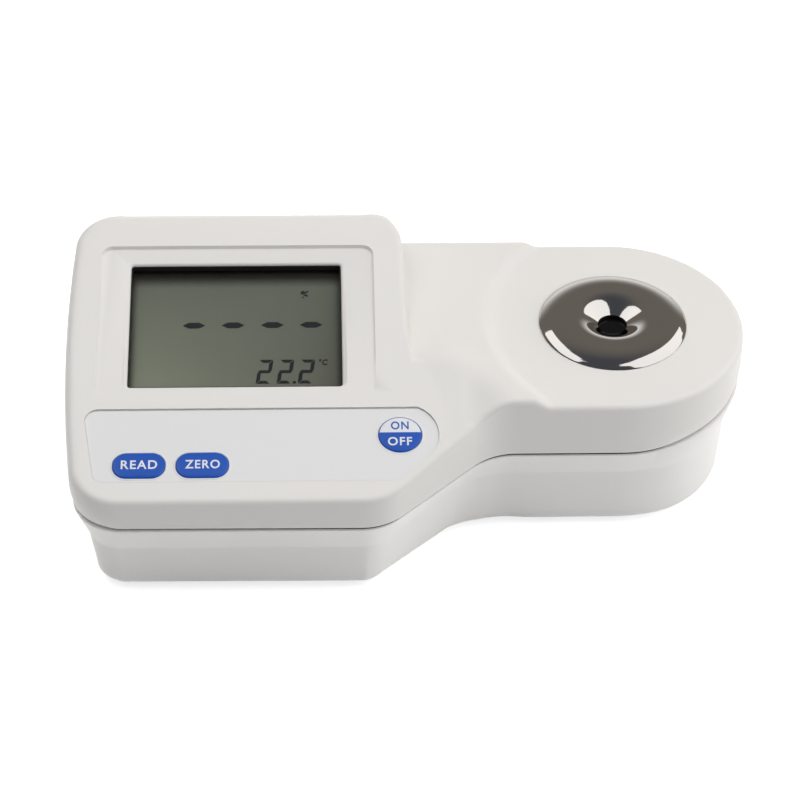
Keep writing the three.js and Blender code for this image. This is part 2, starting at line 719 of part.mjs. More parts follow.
function buildKeypad() {
  const filmTop = (x, s) => filmFloor(x, s) + film.thickness
  const filmLow = (x, s) => filmFloor(x, s) + seatGap / 2
  const sheet = solid(prism(filmOutline, filmLow, filmTop))
  const windows = Object.values(keyShapes).map(([key, outline]) => {
    return solid(prism(outline(key, slideGap), flat(-overrun), flat(overrun)))
  })
  add('keypad_overlay', sheet.subtract(joined(windows)), finish(0xdcdcdc, 0.5), panelFrame)
  for (const [name, shape] of Object.entries(keyShapes)) {
    add(`${name}_key`, keySolid(shape), finish(keyBlue, 0.45), panelFrame)
    const { x, s } = shape[0]
    const bodyTop = switchHeight - boardDepth
    const body = box(switchSize, switchSize, seatGap - boardDepth, bodyTop, x, s)
    const stem = rod(stemRadius, bodyTop - stemHeight, bodyTop + stemHeight, x, s)
    add(`${name}_switch`, solid(body).add(solid(stem)), finish(0x303033, 0.5), panelFrame)
  }
}

function boardOutline() {
  const { x0, x1, s0, s1, corner, notchX, notchS } = board
  return [
    ...arc(x0 + corner, s0 + corner, corner, 180, 270, 3),
    ...arc(notchX - corner, s0 + corner, corner, 270, 360, 3),
    ...arc(notchX + corner, notchS - corner, corner, 180, 90, 3),
    ...arc(boardTab.x1 - corner, notchS + corner, corner, 270, 360, 3),
    ...arc(boardTab.x1 - corner, boardTab.s1 - corner, corner, 0, 90, 3),
    ...arc(x1 + corner, boardTab.s1 + corner, corner, 270, 180, 3),
    ...arc(x1 - corner, s1 - corner, corner, 0, 90, 3),
    ...arc(x0 + corner, s1 - corner, corner, 90, 180, 3),
  ]
}

function buildBoard() {
  const low = -boardDepth - boardThickness
  const holes = boardScrewPlaces.map(([x, s]) => rod(boardScrew.shank + fitGap, 2 * low, 0, x, s))
  const plate = solid(prism(boardOutline(), flat(low), flat(-boardDepth))).subtract(joined(holes.map(solid)))
  add('main_board', plate, finish(boardGreen, 0.5), panelFrame)
  boardScrewPlaces.forEach(([x, s], i) => {
    const screw = screwShape(boardScrew).translate(x, s, low - seatGap)
    add(`board_screw_${i + 1}`, screw, finish(steelGrey, 0.35, 1), panelFrame)
  })
  const chipTop = low - seatGap
  add('microcontroller', box(chip.width, chip.width, chipTop - chip.height, chipTop, chip.x, chip.s),
    finish(0x1b1b1d, 0.5), panelFrame)
  const socketBox = box(socket.width, socket.depth, chipTop - socket.height, chipTop, socket.x, socket.s)
  add('sensor_connector', socketBox, finish(0xd9d4c4, 0.6), panelFrame)
}

// The ring is a low dome with a crest, a funnel inside it and a hub through the casing
function buildRing() {
  const crestShares = [[0.38, 1], [0.6, 0.86], [0.8, 0.52], [0.93, 0.2], [1, 0]]
  const funnelShares = [[0.72, 0.9], [0.45, 0.52], [0.2, 0.16]]
  const slope = ring.radius - ring.crestRadius
  const funnel = ring.crestRadius - ring.bore
  const depth = ring.crestHeight + ring.boreDrop
  const domePoints = crestShares.map(([out, up]) => {
    return [ring.crestRadius + slope * out, seatGap + ring.crestHeight * up]
  })
  const funnelPoints = funnelShares.map(([out, up]) => [ring.bore + funnel * out, depth * up - ring.boreDrop])
  const profile = [
    [ring.bore, -sealPocket.top], [sealPocket.radius, -sealPocket.top],
    [sealPocket.radius, -sealPocket.bottom], [prismPocketRadius, -sealPocket.bottom],
    [prismPocketRadius, -ringHubDepth], [ringHubRadius, -ringHubDepth],
    [ringHubRadius, seatGap], ...domePoints.reverse(), [ring.crestRadius, ring.crestHeight],
    ...funnelPoints, [ring.bore, -ring.boreDrop], [ring.bore, -sealPocket.top],
  ]
  const holes = ringScrewAngles.map((angle) => {
    const [x, y] = ringScrewPlace(angle)
    return rod(ringScrew.shank + slideGap, -2 * overrun, ringScrew.reach - ringHubDepth, x, y)
  })
  return solid(turned(profile, ringSides)).subtract(joined(holes.map(solid)))
}

function ringScrewPlace(angle) {
  return [ringScrewRadius * Math.cos(radians(angle)), ringScrewRadius * Math.sin(radians(angle))]
}

// Shapes drawn in the vertical plane of the light path, given their width across it
function acrossLight(points, width) {
  const shape = new THREE.Shape(points.map(([x, z]) => new THREE.Vector2(x, z)))
  const geometry = new THREE.ExtrudeGeometry(shape, { depth: width, bevelEnabled: false })
  return geometry.rotateX(Math.PI / 2).translate(0, width / 2, 0)
}

const prismHalf = prismTop.length / 2
const prismTopZ = -sealPocket.bottom - seatGap
const prismPoints = (gap) => [
  [prismHeight - prismHalf - gap, prismTopZ - prismHeight - gap],
  [prismHalf - prismHeight + gap, prismTopZ - prismHeight - gap],
  [prismHalf + gap, prismTopZ],
  [-prismHalf - gap, prismTopZ],
]

// Along one leg of the light path, which leaves the middle of a slanting prism face squarely
function lightLeg(geometry, side) {
  const faceX = prismHalf - prismHeight / 2
  const faceZ = prismTopZ - prismHeight / 2
  return geometry.rotateY(side * 3 * Math.PI / 4).translate(side * faceX, 0, faceZ)
}

const legReach = (blockHalfLength + blockShoulderDepth - prismHalf + prismTopZ) / Math.SQRT2

function buildOpticalBlock() {
  const flangeLow = -blockFlange.top - blockFlange.thickness
  const flange = rod(blockFlange.radius, flangeLow, -blockFlange.top, 0, 0, roundSides)
  const shoulder = blockDepth - blockShoulderDepth
  const body = acrossLight([
    [shoulder - blockHalfLength, -blockDepth], [blockHalfLength - shoulder, -blockDepth],
    [blockHalfLength, -blockShoulderDepth], [blockHalfLength, flangeLow + seatGap],
    [-blockHalfLength, flangeLow + seatGap], [-blockHalfLength, -blockShoulderDepth],
  ], 2 * blockHalfWidth)
  const pocketWidth = prismTop.width + 2 * fitGap
  const pocket = acrossLight(prismPoints(fitGap), pocketWidth)
  const pocketMouth = box(prismTop.length + 2 * fitGap, pocketWidth, prismTopZ - fitGap, prismTopZ + overrun)
  const bores = [-1, 1].map((side) => lightLeg(rod(lightBoreRadius, -lensThickness / 2, 2 * legReach), side))
  const holes = ringScrewAngles.map((angle) => {
    const [x, y] = ringScrewPlace(angle)
    return rod(ringScrew.shank + slideGap, flangeLow - overrun, 0, x, y)
  })
  const probeHole = rod(probe.radius + slideGap, flangeLow - overrun, 0, 0, probe.place)
  const cuts = [pocket, pocketMouth, ...bores, ...holes, probeHole]
  return joined([flange, body].map(solid)).subtract(joined(cuts.map(solid)))
}

function buildHead() {
  add('sample_ring', buildRing(), finish(0x9c9892, 0.12, 1), headFrame)
  const sealLow = -sealPocket.bottom + seatGap
  const sealHigh = -sealPocket.top - seatGap
  const seal = tubeRing(ring.bore - seatGap, sealPocket.radius - seatGap, sealLow, sealHigh)
  add('prism_seal', seal, finish(0x101010, 0.5), headFrame)
  add('prism', acrossLight(prismPoints(0), prismTop.width), finish(0x20242a, 0.05), headFrame)
  add('optical_block', buildOpticalBlock(), finish(0x151517, 0.7), headFrame)
  ringScrewAngles.forEach((angle, i) => {
    const [x, y] = ringScrewPlace(angle)
    const low = -blockFlange.top - blockFlange.thickness - seatGap
    const length = -ringHubDepth + ringScrew.reach - fitGap - low
    add(`ring_screw_${i + 1}`, screwShape({ ...ringScrew, length }).translate(x, y, low),
      finish(steelGrey, 0.35, 1), headFrame)
  })
  const boardAt = legReach + seatGap
  const plate = () => box(opticBoard.length, opticBoard.width, boardAt, boardAt + opticBoard.thickness)
  add('led_board', lightLeg(plate(), -1), finish(boardGreen, 0.5), headFrame)
  add('sensor_board', lightLeg(plate(), 1), finish(boardGreen, 0.5), headFrame)
  const lampBase = boardAt - seatGap
  const lamp = turned([
    [0, lampBase - lampLength], [lampRadius / 2, lampBase - lampLength + lampRadius / 4],
    [lampRadius, lampBase - lampLength + lampRadius], [lampRadius, lampBase], [0, lampBase],
  ], smallSides)
  add('led_emitter', lightLeg(lamp, -1), finish(0xf2dc9a, 0.1), headFrame)
  const edge = lensThickness / 4
  const lens = turned([
    [0, lensPlace - lensThickness / 2], [lensRadius, lensPlace - edge], [lensRadius, lensPlace + edge],
    [0, lensPlace + lensThickness / 2],
  ])
  add('collimating_lens', lightLeg(lens, -1), finish(0xdfe8ee, 0.05), headFrame)
  const sensor = box(sensorSize.length, sensorSize.width, lampBase - sensorSize.height, lampBase)
  add('image_sensor', lightLeg(sensor, 1), finish(0x2a2a2c, 0.4), headFrame)
  add('temperature_sensor', rod(probe.radius, -ringHubDepth - seatGap - probe.height, -ringHubDepth - seatGap,
    0, probe.place), finish(0x3a3f44, 0.4), headFrame)
}

function buildPower() {
  const batteryHigh = batteryLow + battery.height
  const x0 = batteryCentreX - battery.length / 2
  const x1 = batteryCentreX + battery.length / 2
  const half = battery.width / 2
  const section = roundedRectangle(-half, half, batteryLow, batteryHigh, battery.corner)
  const block = prism(section, flat(0), flat(battery.length))
  block.rotateX(Math.PI / 2).rotateZ(Math.PI / 2).translate(x0, 0, 0)
  add('battery', block, finish(0x35383c, 0.4, 0.3))
  const middle = (batteryLow + batteryHigh) / 2
  const snapX = x1 + seatGap + snap.thickness / 2
  const snapLow = middle - snap.height / 2
  add('battery_snap', box(snap.thickness, snap.width, snapLow, snapLow + snap.height, snapX, 0),
    finish(0x1a1a1a, 0.6))
  const leads = { positive: [0xb02a22, 1], negative: [0x1c1c1c, -1] }
  for (const [name, [color, side]] of Object.entries(leads)) {
    add(`lead_${name}`, leadShape(snapX + snap.thickness / 2 + seatGap, middle, side), finish(color, 0.5))
  }
  add('battery_cup', buildCup(), finish(shellWhite, 0.5))
  add('battery_cover', buildCover(), finish(shellWhite, 0.5))
  const sealOuter = coverSeal.inner + coverSeal.width
  const seal = tubeRing(coverSeal.inner, sealOuter, coverTop - coverSeal.thickness, coverTop)
  add('cover_seal', seal.translate(batteryCentreX, 0, 0), finish(rubberBlack, 0.8))
}

function leadShape(startX, startZ, side) {
  const y = side * leadSpacing / 2
  const endX = startX + 2 * cupWall + overrun
  const route = new THREE.CatmullRomCurve3([
    new THREE.Vector3(startX, y, startZ),
    new THREE.Vector3(startX + cupWall, y, startZ),
    new THREE.Vector3(endX, y, startZ + overrun),
    new THREE.Vector3(endX, y, startZ + 3 * overrun),
    new THREE.Vector3(endX, y, heightOf(panel, boardDepth + 2 * boardThickness)(endX, y) - overrun / 2),
  ])
  const section = new THREE.Shape().absarc(0, 0, leadRadius, 0, 2 * Math.PI)
  const sweep = { steps: 12, curveSegments: 2, extrudePath: route, bevelEnabled: false }
  return new THREE.ExtrudeGeometry(section, sweep)
}

function buildCover() {
  const disc = rod(coverRadius, baseHeight, coverTop, batteryCentreX, 0, roundSides)
  const lugs = lugAngles.map((angle) => {
    return sector(coverRadius + lugReach, lugLow, lugLow + lugThickness, angle, lugHalfAngle)
  })
  const slot = box(coinSlot.length, coinSlot.width, -overrun, baseHeight + coinSlot.depth, batteryCentreX, 0)
  const groove = tubeRing(coverSeal.inner - slideGap, coverSeal.inner + coverSeal.width + slideGap,
    coverTop - coverSeal.thickness - seatGap, coverTop + 2 * overrun).translate(batteryCentreX, 0, 0)
  const insideRadius = coverSeal.inner + coverSeal.width / 2
  const inside = rod(insideRadius, coverTop, coverTop + overrun, batteryCentreX, 0, roundSides)
  return joined([disc, ...lugs].map(solid)).subtract(joined([slot, groove, inside].map(solid)))
}

// Flat cable from the back of the sensor's board, under the neck, to the socket on the main board
function buildCable() {
  const legEnd = legReach + opticBoard.thickness + 2 * seatGap
  const lower = opticBoard.length / 3
  const startX = ring.x + prismHalf - prismHeight / 2 + (legEnd - lower) / Math.SQRT2
  const lean = (ring.y - cable.y + cable.width / 2) * Math.sin(headTilt)
  const startZ = headFrame.position.z + prismTopZ - prismHeight / 2 - (legEnd + lower) / Math.SQRT2 - lean
  const endX = socket.x + socket.width / 2 + seatGap
  const endZ = heightOf(panel)(socket.x, cable.y) - boardDepth - 2 * boardThickness - socket.height / 2
  const route = [
    [startX, startZ], [startX + overrun / 2, startZ - overrun], [startX - overrun / 2, startZ - 2 * overrun],
    [ring.x - blockHalfLength, startZ - 2 * overrun], [endX + 2 * overrun, endZ - overrun],
    [endX + overrun, endZ], [endX, endZ],
  ].map(([x, z]) => new THREE.Vector2(x, z))
  const back = route.map((point, i) => {
    const along = route[Math.min(i + 1, route.length - 1)].clone().sub(route[Math.max(i - 1, 0)]).normalize()
    return new THREE.Vector2(point.x - along.y * cable.thickness, point.y + along.x * cable.thickness)
  })
  const outline = [...route, ...back.reverse()].map(({ x, y }) => [x, y])
  const ribbon = acrossLight(outline, cable.width).translate(0, cable.y, 0)
  add('sensor_cable', ribbon, finish(0xcfd2d4, 0.5))
}

buildCasing()
buildDisplay()
buildKeypad()
buildBoard()
buildHead()
buildPower()
buildCable()

export default refractometer
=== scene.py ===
import math

import bmesh
import bpy
import numpy as np
from mathutils import Matrix, Vector
from mathutils.geometry import delaunay_2d_cdt


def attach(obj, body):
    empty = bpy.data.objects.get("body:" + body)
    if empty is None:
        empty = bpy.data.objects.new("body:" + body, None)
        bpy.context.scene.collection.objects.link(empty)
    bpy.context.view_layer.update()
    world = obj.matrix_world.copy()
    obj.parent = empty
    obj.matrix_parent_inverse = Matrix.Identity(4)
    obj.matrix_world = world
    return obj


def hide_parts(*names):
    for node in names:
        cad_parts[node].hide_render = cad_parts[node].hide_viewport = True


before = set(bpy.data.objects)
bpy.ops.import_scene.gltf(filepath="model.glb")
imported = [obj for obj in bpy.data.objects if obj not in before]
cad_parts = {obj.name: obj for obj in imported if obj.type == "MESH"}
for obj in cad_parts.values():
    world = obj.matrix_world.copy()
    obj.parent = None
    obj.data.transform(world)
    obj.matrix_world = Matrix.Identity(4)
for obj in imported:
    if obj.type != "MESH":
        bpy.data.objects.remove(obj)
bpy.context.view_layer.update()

# Lengths are in millimetres until a mesh is made
MM = 0.001

# Plan of the casing, as in the part's source
HALF_LENGTH, HALF_DEPTH, HEAD_RADIUS = 96.65, 51.0, 37.11
CORNER_RADIUS, BOW_RADIUS, BOW_CENTRE_Y = 14.0, 400.0, 5.0
WALL_X, DIAGONAL_ANGLE, FRONT_BEND, NECK_BEND = 0.7, 42.4, 16.3, 18.0
FRONT_CORNER_X = WALL_X - 8.29
BACK_CORNER = 13.0
FRONT_Y = -HALF_DEPTH
HEAD_X, HEAD_Y = HALF_LENGTH - HEAD_RADIUS, HALF_DEPTH - HEAD_RADIUS
NECK_FRONT_Y = HALF_DEPTH - 2 * HEAD_RADIUS

# Height over the front line and rise for each millimetre towards the back
PARTING, PANEL, PLATEAU, HEAD_TOP = (26.244, 0.1394), (35.7, 0.309), (46.457, 0.0717), (43.79, 0.0814)
# The step around the head, the scoop beside the display wall and the wing, and how softly they meet
STEP_X, STEP_Y, STEP_UPPER, STEP_LOWER = HEAD_X + 14.61, HEAD_Y - 0.39, 52.4, 48.9
SCOOP_X, SCOOP_Y, SCOOP_RADIUS, SCOOP_RISE = WALL_X - 2, FRONT_Y + 18, 29.5, 0.45
STEP_SOFT, SCOOP_SOFT = 0.7, 3.0
WING_END, WING_FALL, WING_SOFT, WING_REACH = 14.0, 0.25, (0.02, 3.2), 9.0
# Roundings of the upper edge, wall thicknesses, the gap between the casings, and the lower casing
EDGE, LEFT_EDGE, CREST, WALL_EDGE = 2.0, 3.0, 5.7, 1.8
UPPER_WALL, LOWER_WALL, CASE_GAP = 2.5, 2.3, 1.1
BASE_HEIGHT, BASE_RADIUS, BASE_INSET = 0.8, 5.0, 5.4
CREASE_INSET, CREASE_DROP, RIM_INSET = 4.4, 10.3, 0.9

PANEL_TILT, HEAD_TILT = math.atan(PANEL[1]), math.atan(HEAD_TOP[1])
PANEL_LENGTH = 2 * HALF_DEPTH / math.cos(PANEL_TILT)
RING_X, RING_Y = HEAD_X - 0.52, HEAD_Y + 0.04
BATTERY_X = -45.0
FEET = {"front_left": (-79, -34), "back_left": (-79, 34), "neck": (39.61, -9), "head": (70, 31)}
SCREWS = [(-85.5, 22), (-85.5, -22), (-5.9, 38), (-14.19, -38), (RING_X + 25, RING_Y), (22, -8)]


def height_of(plane, drop=0.0):
    """The height of a sloping plane, or of one a little under it, as a function of the place."""
    return lambda x, y: plane[0] + plane[1] * (y - FRONT_Y) - drop


def raised(height, rise):
    return lambda x, y: height(x, y) + rise


panel_frame = Matrix.Translation((0, FRONT_Y, PANEL[0])) @ Matrix.Rotation(PANEL_TILT, 4, "X")
head_frame = (Matrix.Translation((RING_X, RING_Y, height_of(HEAD_TOP)(RING_X, RING_Y)))
              @ Matrix.Rotation(HEAD_TILT, 4, "X"))
world_frame = Matrix.Identity(4)


def add_object(name, data):
    obj = bpy.data.objects.new(name, data)
    bpy.context.scene.collection.objects.link(obj)
    return obj


def mesh_object(name, verts, faces, place=world_frame, smooth=35.0):
    mesh = bpy.data.meshes.new(name)
    mesh.from_pydata([place @ Vector(v) * MM for v in verts], [], faces)
    mesh.validate()
    return shade(add_object(name, mesh), smooth)


def shade(obj, angle=35.0):
    """Smooth shading, with a crease wherever faces meet at more than the angle."""
    obj.data.polygons.foreach_set("use_smooth", [True] * len(obj.data.polygons))
    obj.data.set_sharp_from_angle(angle=math.radians(angle))
    obj.data.update()
    return obj


def evaluated_mesh(obj):
    return bpy.data.meshes.new_from_object(obj.evaluated_get(bpy.context.evaluated_depsgraph_get()))


def boolean(obj, cutters, operation="DIFFERENCE", angle=35.0):
    for cutter in cutters:
        modifier = obj.modifiers.new("cut", "BOOLEAN")
        modifier.solver = "MANIFOLD"
        modifier.operation = operation
        modifier.object = cutter
        old, mesh = obj.data, evaluated_mesh(obj)
        obj.modifiers.clear()
        obj.data = mesh
        mesh.name = obj.name
        bpy.data.meshes.remove(old)
        bpy.data.objects.remove(cutter)
    return shade(obj, angle)


def join(objects, name):
    """Several pieces that don't touch, as one mesh."""
    verts, faces = [], []
    for obj in objects:
        start = len(verts)
        verts += [tuple(v.co / MM) for v in obj.data.vertices]
        faces += [tuple(start + i for i in p.vertices) for p in obj.data.polygons]
        bpy.data.objects.remove(obj)
    return mesh_object(name, verts, faces)


def arc(x, y, radius, start, stop, steps, edge=EDGE, edge_to=None):
    """Places on an arc with outward normals and the rounding of the edge above them."""
    edge_to = edge if edge_to is None else edge_to
    side = math.copysign(1, stop - start)
    rows = []
    for i in range(steps + 1):
        angle = math.radians(start + (stop - start) * i / steps)
        c, s = math.cos(angle), math.sin(angle)
        rows.append((x + radius * c, y + radius * s, side * c, side * s, edge + (edge_to - edge) * i / steps))
    return rows


def straight(start, stop, y, side, edge=EDGE, spacing=1.0):
    """Places between two ends of a line along x, without the ends."""
    steps = math.ceil(abs(stop - start) / spacing)
    return [(x, y, 0, side, edge) for x in np.linspace(start, stop, steps + 1)[1:-1]]


def outline_of(*arcs):
    """Arcs that meet share one place, which is kept once."""
    rows = [row for part in arcs for row in part]
    kept = [row for i, row in enumerate(rows)
            if math.dist(row[:2], rows[(i + 1) % len(rows)][:2]) > 0.001]
    return np.array(kept)


def level(outline, height, inset=0.0):
    """A ring of points at a height, drawn in from the outline along its normals."""
    x, y = (outline[:, :2] - outline[:, 2:4] * np.reshape(inset, (-1, 1))).T
    return np.stack(np.broadcast_arrays(x, y, height(x, y) if callable(height) else height), 1)


def strip(low, high):
    """Faces between two closed rows of point numbers that run counterclockwise seen from above."""
    return [(low[i - 1], low[i], high[i], high[i - 1]) for i in range(len(low))]


def loft(name, rings, place=world_frame, smooth=35.0, hollow=False):
    """A skin over rings of points from below, its ends closed; hollow joins the last ring to the first."""
    count = len(rings[0])
    verts = [tuple(p) for ring in rings for p in ring]
    rows = [range(i * count, (i + 1) * count) for i in range(len(rings))]
    faces = [] if hollow else [tuple(rows[0])[::-1], tuple(rows[-1])]
    for low, high in zip(rows, rows[1:] + rows[:1] if hollow else rows[1:]):
        faces += strip(low, high)
    return mesh_object(name, verts, faces, place, smooth)


def stack(name, outline, rows, place=world_frame, smooth=35.0, hollow=False):
    """A loft over one outline, from a height and an inset for each ring."""
    return loft(name, [level(outline, height, inset) for height, inset in rows], place, smooth, hollow)


def prism(name, outline, low, high, place=world_frame):
    return stack(name, outline, ((low, 0), (high, 0)), place)


def rectangle(x0, x1, y0, y1, radius, steps=8):
    return outline_of(
        arc(x1 - radius, y0 + radius, radius, -90, 0, steps),
        arc(x1 - radius, y1 - radius, radius, 0, 90, steps),
        arc(x0 + radius, y1 - radius, radius, 90, 180, steps),
        arc(x0 + radius, y0 + radius, radius, 180, 270, steps))


def circle(x, y, radius, sides=96):
    return outline_of(arc(x, y, radius, 0, 360, sides))


def rod(name, radius, low, high, x=0.0, y=0.0, sides=48, place=world_frame):
    return prism(name, circle(x, y, radius, sides), low, high, place)


def lathe(name, profile, sides=96, place=world_frame, x=0.0, y=0.0, smooth=35.0):
    """A turned shape from (radius, height) pairs that start and end on the axis or at the same place."""
    verts, faces, rows = [], [], []
    for radius, height in profile:
        if radius == 0:
            rows.append([len(verts)])
            verts.append((x, y, height))
            continue
        rows.append(list(range(len(verts), len(verts) + sides)))
        for i in range(sides):
            angle = 2 * math.pi * i / sides
            verts.append((x + radius * math.cos(angle), y + radius * math.sin(angle), height))
    if profile[0] == profile[-1]:
        rows[-1] = rows[0]
        verts = verts[:-sides]
    for low, high in zip(rows, rows[1:]):
        if len(low) == 1:
            faces += [(low[0], high[i], high[i - 1]) for i in range(sides)]
        elif len(high) == 1:
            faces += [(low[i - 1], low[i], high[0]) for i in range(sides)]
        else:
            faces += strip(low, high)
    return mesh_object(name, verts, faces, place, smooth)


def spline(points, steps):
    """A smooth line through points, each span cut in steps."""
    p = np.array([points[0], *points, points[-1]], float)
    p[0], p[-1] = 2 * p[1] - p[2], 2 * p[-2] - p[-3]
    line = []
    for a, b, c, d in zip(p, p[1:], p[2:], p[3:]):
        for t in np.arange(steps) / steps:
            bend = 2 * a - 5 * b + 4 * c - d + t * (3 * b - a - 3 * c + d)
            line.append(tuple(b + 0.5 * t * (c - a + t * bend)))
    return line + [tuple(points[-1])]


def casing_parts():
    """The plan in three parts: the left body with the diagonal's foot, the bend to the neck, and the head."""
    reach, bow_x = BOW_RADIUS - CORNER_RADIUS, BOW_RADIUS - HALF_LENGTH
    front_y, back_y = FRONT_Y + CORNER_RADIUS, HALF_DEPTH - CORNER_RADIUS
    front_angle = 180 + math.degrees(math.asin((BOW_CENTRE_Y - front_y) / reach))
    back_angle = 180 - math.degrees(math.asin((back_y - BOW_CENTRE_Y) / reach))
    corner_x = lambda angle: bow_x + reach * math.cos(math.radians(angle))
    tangent = math.tan(math.radians(DIAGONAL_ANGLE / 2))
    neck_corner_x = FRONT_CORNER_X + (NECK_FRONT_Y - FRONT_Y) / math.tan(math.radians(DIAGONAL_ANGLE))
    left = arc(corner_x(back_angle), back_y, CORNER_RADIUS, 90, back_angle, 24, CREST, LEFT_EDGE)
    left += arc(bow_x, BOW_CENTRE_Y, BOW_RADIUS, back_angle, front_angle, 15, LEFT_EDGE)
    left += arc(corner_x(front_angle), front_y, CORNER_RADIUS, front_angle, 270, 24, LEFT_EDGE, EDGE)
    front_x, bend_y = FRONT_CORNER_X - FRONT_BEND * tangent, FRONT_Y + FRONT_BEND
    left += arc(front_x, bend_y, FRONT_BEND, 270, 270 + DIAGONAL_ANGLE, 15)
    bend_x = neck_corner_x + NECK_BEND * tangent
    bend = arc(bend_x, NECK_FRONT_Y - NECK_BEND, NECK_BEND, 90 + DIAGONAL_ANGLE, 90, 18)
    bend += straight(bend_x, HEAD_X, NECK_FRONT_Y, -1)
    return left, bend, arc(HEAD_X, HEAD_Y, HEAD_RADIUS, -90, 90, 90)


left_part, bend_part, head_part = casing_parts()
casing_outline = outline_of(left_part, bend_part, head_part,
                            straight(HEAD_X, left_part[0][0], HALF_DEPTH, 1, spacing=2.5))


# Upper casing: one height field over the plan, closed by walls
panel_height = height_of(PANEL)
WALL_START_Y = FRONT_Y + (PLATEAU[0] - PANEL[0]) / (PANEL[1] - PLATEAU[1])
ARC_X, ARC_Y = WALL_X - BACK_CORNER, HALF_DEPTH - BACK_CORNER
# The display wall's draft, the fillet at its foot and its lean; then the two ends, which taper below
DRAFT, FOOT_SHARE = 0.22, 0.35
WALL_LEAN, LEAN_REACH = 1.7, (8.0, 16.0)
LEFT_END, LEFT_FADE, RIGHT_END, RIGHT_FADE = -74.0, 14.0, 62.0, 22.0
END_TAPER, END_CLOSE = 1.0, 0.35
# How far in from the edge lines follow it, and how far out from the display wall they follow its foot
INSETS = [0.03, 0.12, 0.28, 0.5, 0.8, 1.15, 1.6, 2.1, 2.8, 3.7, 4.7, 5.9, 7.4]
FOOT_OFFSETS = [0, 0.1, 0.28, 0.55, 0.9, 1.3, 1.8]
# Up to these insets a line also follows the display wall, or all of the rim; the others stop LEFT_REACH
# places before the end of the left part
WALL_REACH, RIM_REACH, LEFT_REACH = 6, 3, -24
# Where the plain grid starts, how far it keeps from edges and wall, and the coarse grid of the inside
GRID_START, GRID_CLEAR, FOOT_CLEAR, COARSE, COARSE_CLEAR = -4.0, 2.9, 2.2, 3.0, 1.2
# Rows of the wall: rise over the parting line, how far in, and the share of the taper at the two ends
WALL_ROWS = [(5.5, 0.0, 0.0), (3.6, 0.0, 0.2), (2.0, 0.0, 0.55), (1.0, 0.0, 0.8), (0.45, 0.0, 0.94),
             (0.2, 0.08, 1.0), (0.05, 0.25, 1.0), (0.0, 0.5, 1.0)]


def smooth_step(t):
    t = np.clip(t, 0, 1)
    return t * t * t * (t * (6 * t - 15) + 10)


def soft_positive(u, width):
    return np.where(u > width, u, np.where(u < -width, 0, (u + width) ** 2 / (4 * width)))


def neck_height(x, y):
    """The surface right of the display wall: wing, scoop, plateau, step and disc, softly joined."""
    plateau, disc = height_of(PLATEAU)(x, y), height_of(HEAD_TOP)(x, y)
    out = np.hypot(x - STEP_X, y - STEP_Y)
    share = smooth_step((out - STEP_LOWER + STEP_SOFT) / (STEP_UPPER - STEP_LOWER + 2 * STEP_SOFT))
    neck = disc + (plateau - disc) * share
    inside = SCOOP_RADIUS - np.hypot(x - SCOOP_X, y - SCOOP_Y)
    neck = neck - SCOOP_RISE * soft_positive(inside, SCOOP_SOFT)
    panel = panel_height(x, y)
    wing = plateau - np.abs(plateau - panel) - WING_FALL * np.maximum(x - WING_END, 0)
    blend = WING_SOFT[0] + WING_SOFT[1] * np.clip((x - WALL_X) / WING_REACH, 0, 1)
    mix = np.clip(0.5 + 0.5 * (wing - neck) / blend, 0, 1)
    return neck + (wing - neck) * mix + blend * mix * (1 - mix)


def wall_offset(x, y):
    """Signed distance to the display wall, outwards positive."""
    corner = np.hypot(x - ARC_X, y - ARC_Y) - BACK_CORNER
    return np.where(y < ARC_Y, x - WALL_X, np.where(x > ARC_X, corner, y - HALF_DEPTH))


def nearest(points, lines):
    """Distance from each point to the nearest segment, with that place's normal and edge radius."""
    best = np.full(len(points), 1e9)
    found = np.zeros((len(points), 3))
    for line in lines:
        for a, b in zip(line, line[1:]):
            span = b[:2] - a[:2]
            t = np.clip(((points - a[:2]) @ span) / max(span @ span, 1e-12), 0, 1)
            place = a[:2] + t[:, None] * span
            far = np.hypot(*(points - place).T)
            closer = far < best - 1e-9
            best = np.where(closer, far, best)
            values = a[2:] + t[:, None] * (b[2:] - a[2:])
            found = np.where(closer[:, None], values, found)
    found[:, :2] /= np.hypot(found[:, 0], found[:, 1])[:, None]
    return best, found


def rounded(height, points, far, found):
    """The height under an edge rounding that meets the sloping surface smoothly."""
    out, radius = found[:, :2], np.maximum(found[:, 2], 0.02)
    centre = points - out * (radius - far)[:, None]
    base, low = height(*points.T), height(*centre.T)
    tilt = np.arctan(height(*(centre + out).T) - low)
    under = np.clip(radius - far, -radius, radius)
    curve = low - radius / np.cos(tilt) + np.sqrt(np.maximum(radius ** 2 - under ** 2, 0))
    return np.where(far < radius * (1 + np.sin(tilt)), np.minimum(curve, base + 1e-9), base)


def grid_inside(xs, ys, ring):
    """The places of a grid inside a closed line: a ray to the right crosses it an odd number of times."""
    grid = np.stack(np.meshgrid(xs, ys), 2).reshape(-1, 2)
    inside = np.zeros(len(grid), bool)
    for (x0, y0), (x1, y1) in zip(ring, np.roll(ring, -1, 0)):
        if y0 != y1:
            beside = (grid[:, 1] > min(y0, y1)) & (grid[:, 1] <= max(y0, y1))
            inside ^= beside & (grid[:, 0] < x0 + (grid[:, 1] - y0) * (x1 - x0) / (y1 - y0))
    return grid[inside]


def triangulated(places, edges, boundary):
    """The plan's places, its triangles, and the places around its border in order."""
    flat, _, triangles, *_ = delaunay_2d_cdt([Vector(p) for p in places], edges, [boundary], 1, 1e-4)
    pairs = {(a, b) for t in triangles for a, b in zip(t, (*t[1:], t[0]))}
    following = {a: b for a, b in pairs if (b, a) not in pairs}
    loop = [min(following)]
    while following[loop[-1]] != loop[0]:
        loop.append(following[loop[-1]])
    return np.array([tuple(v) for v in flat]), [tuple(t) for t in triangles], loop


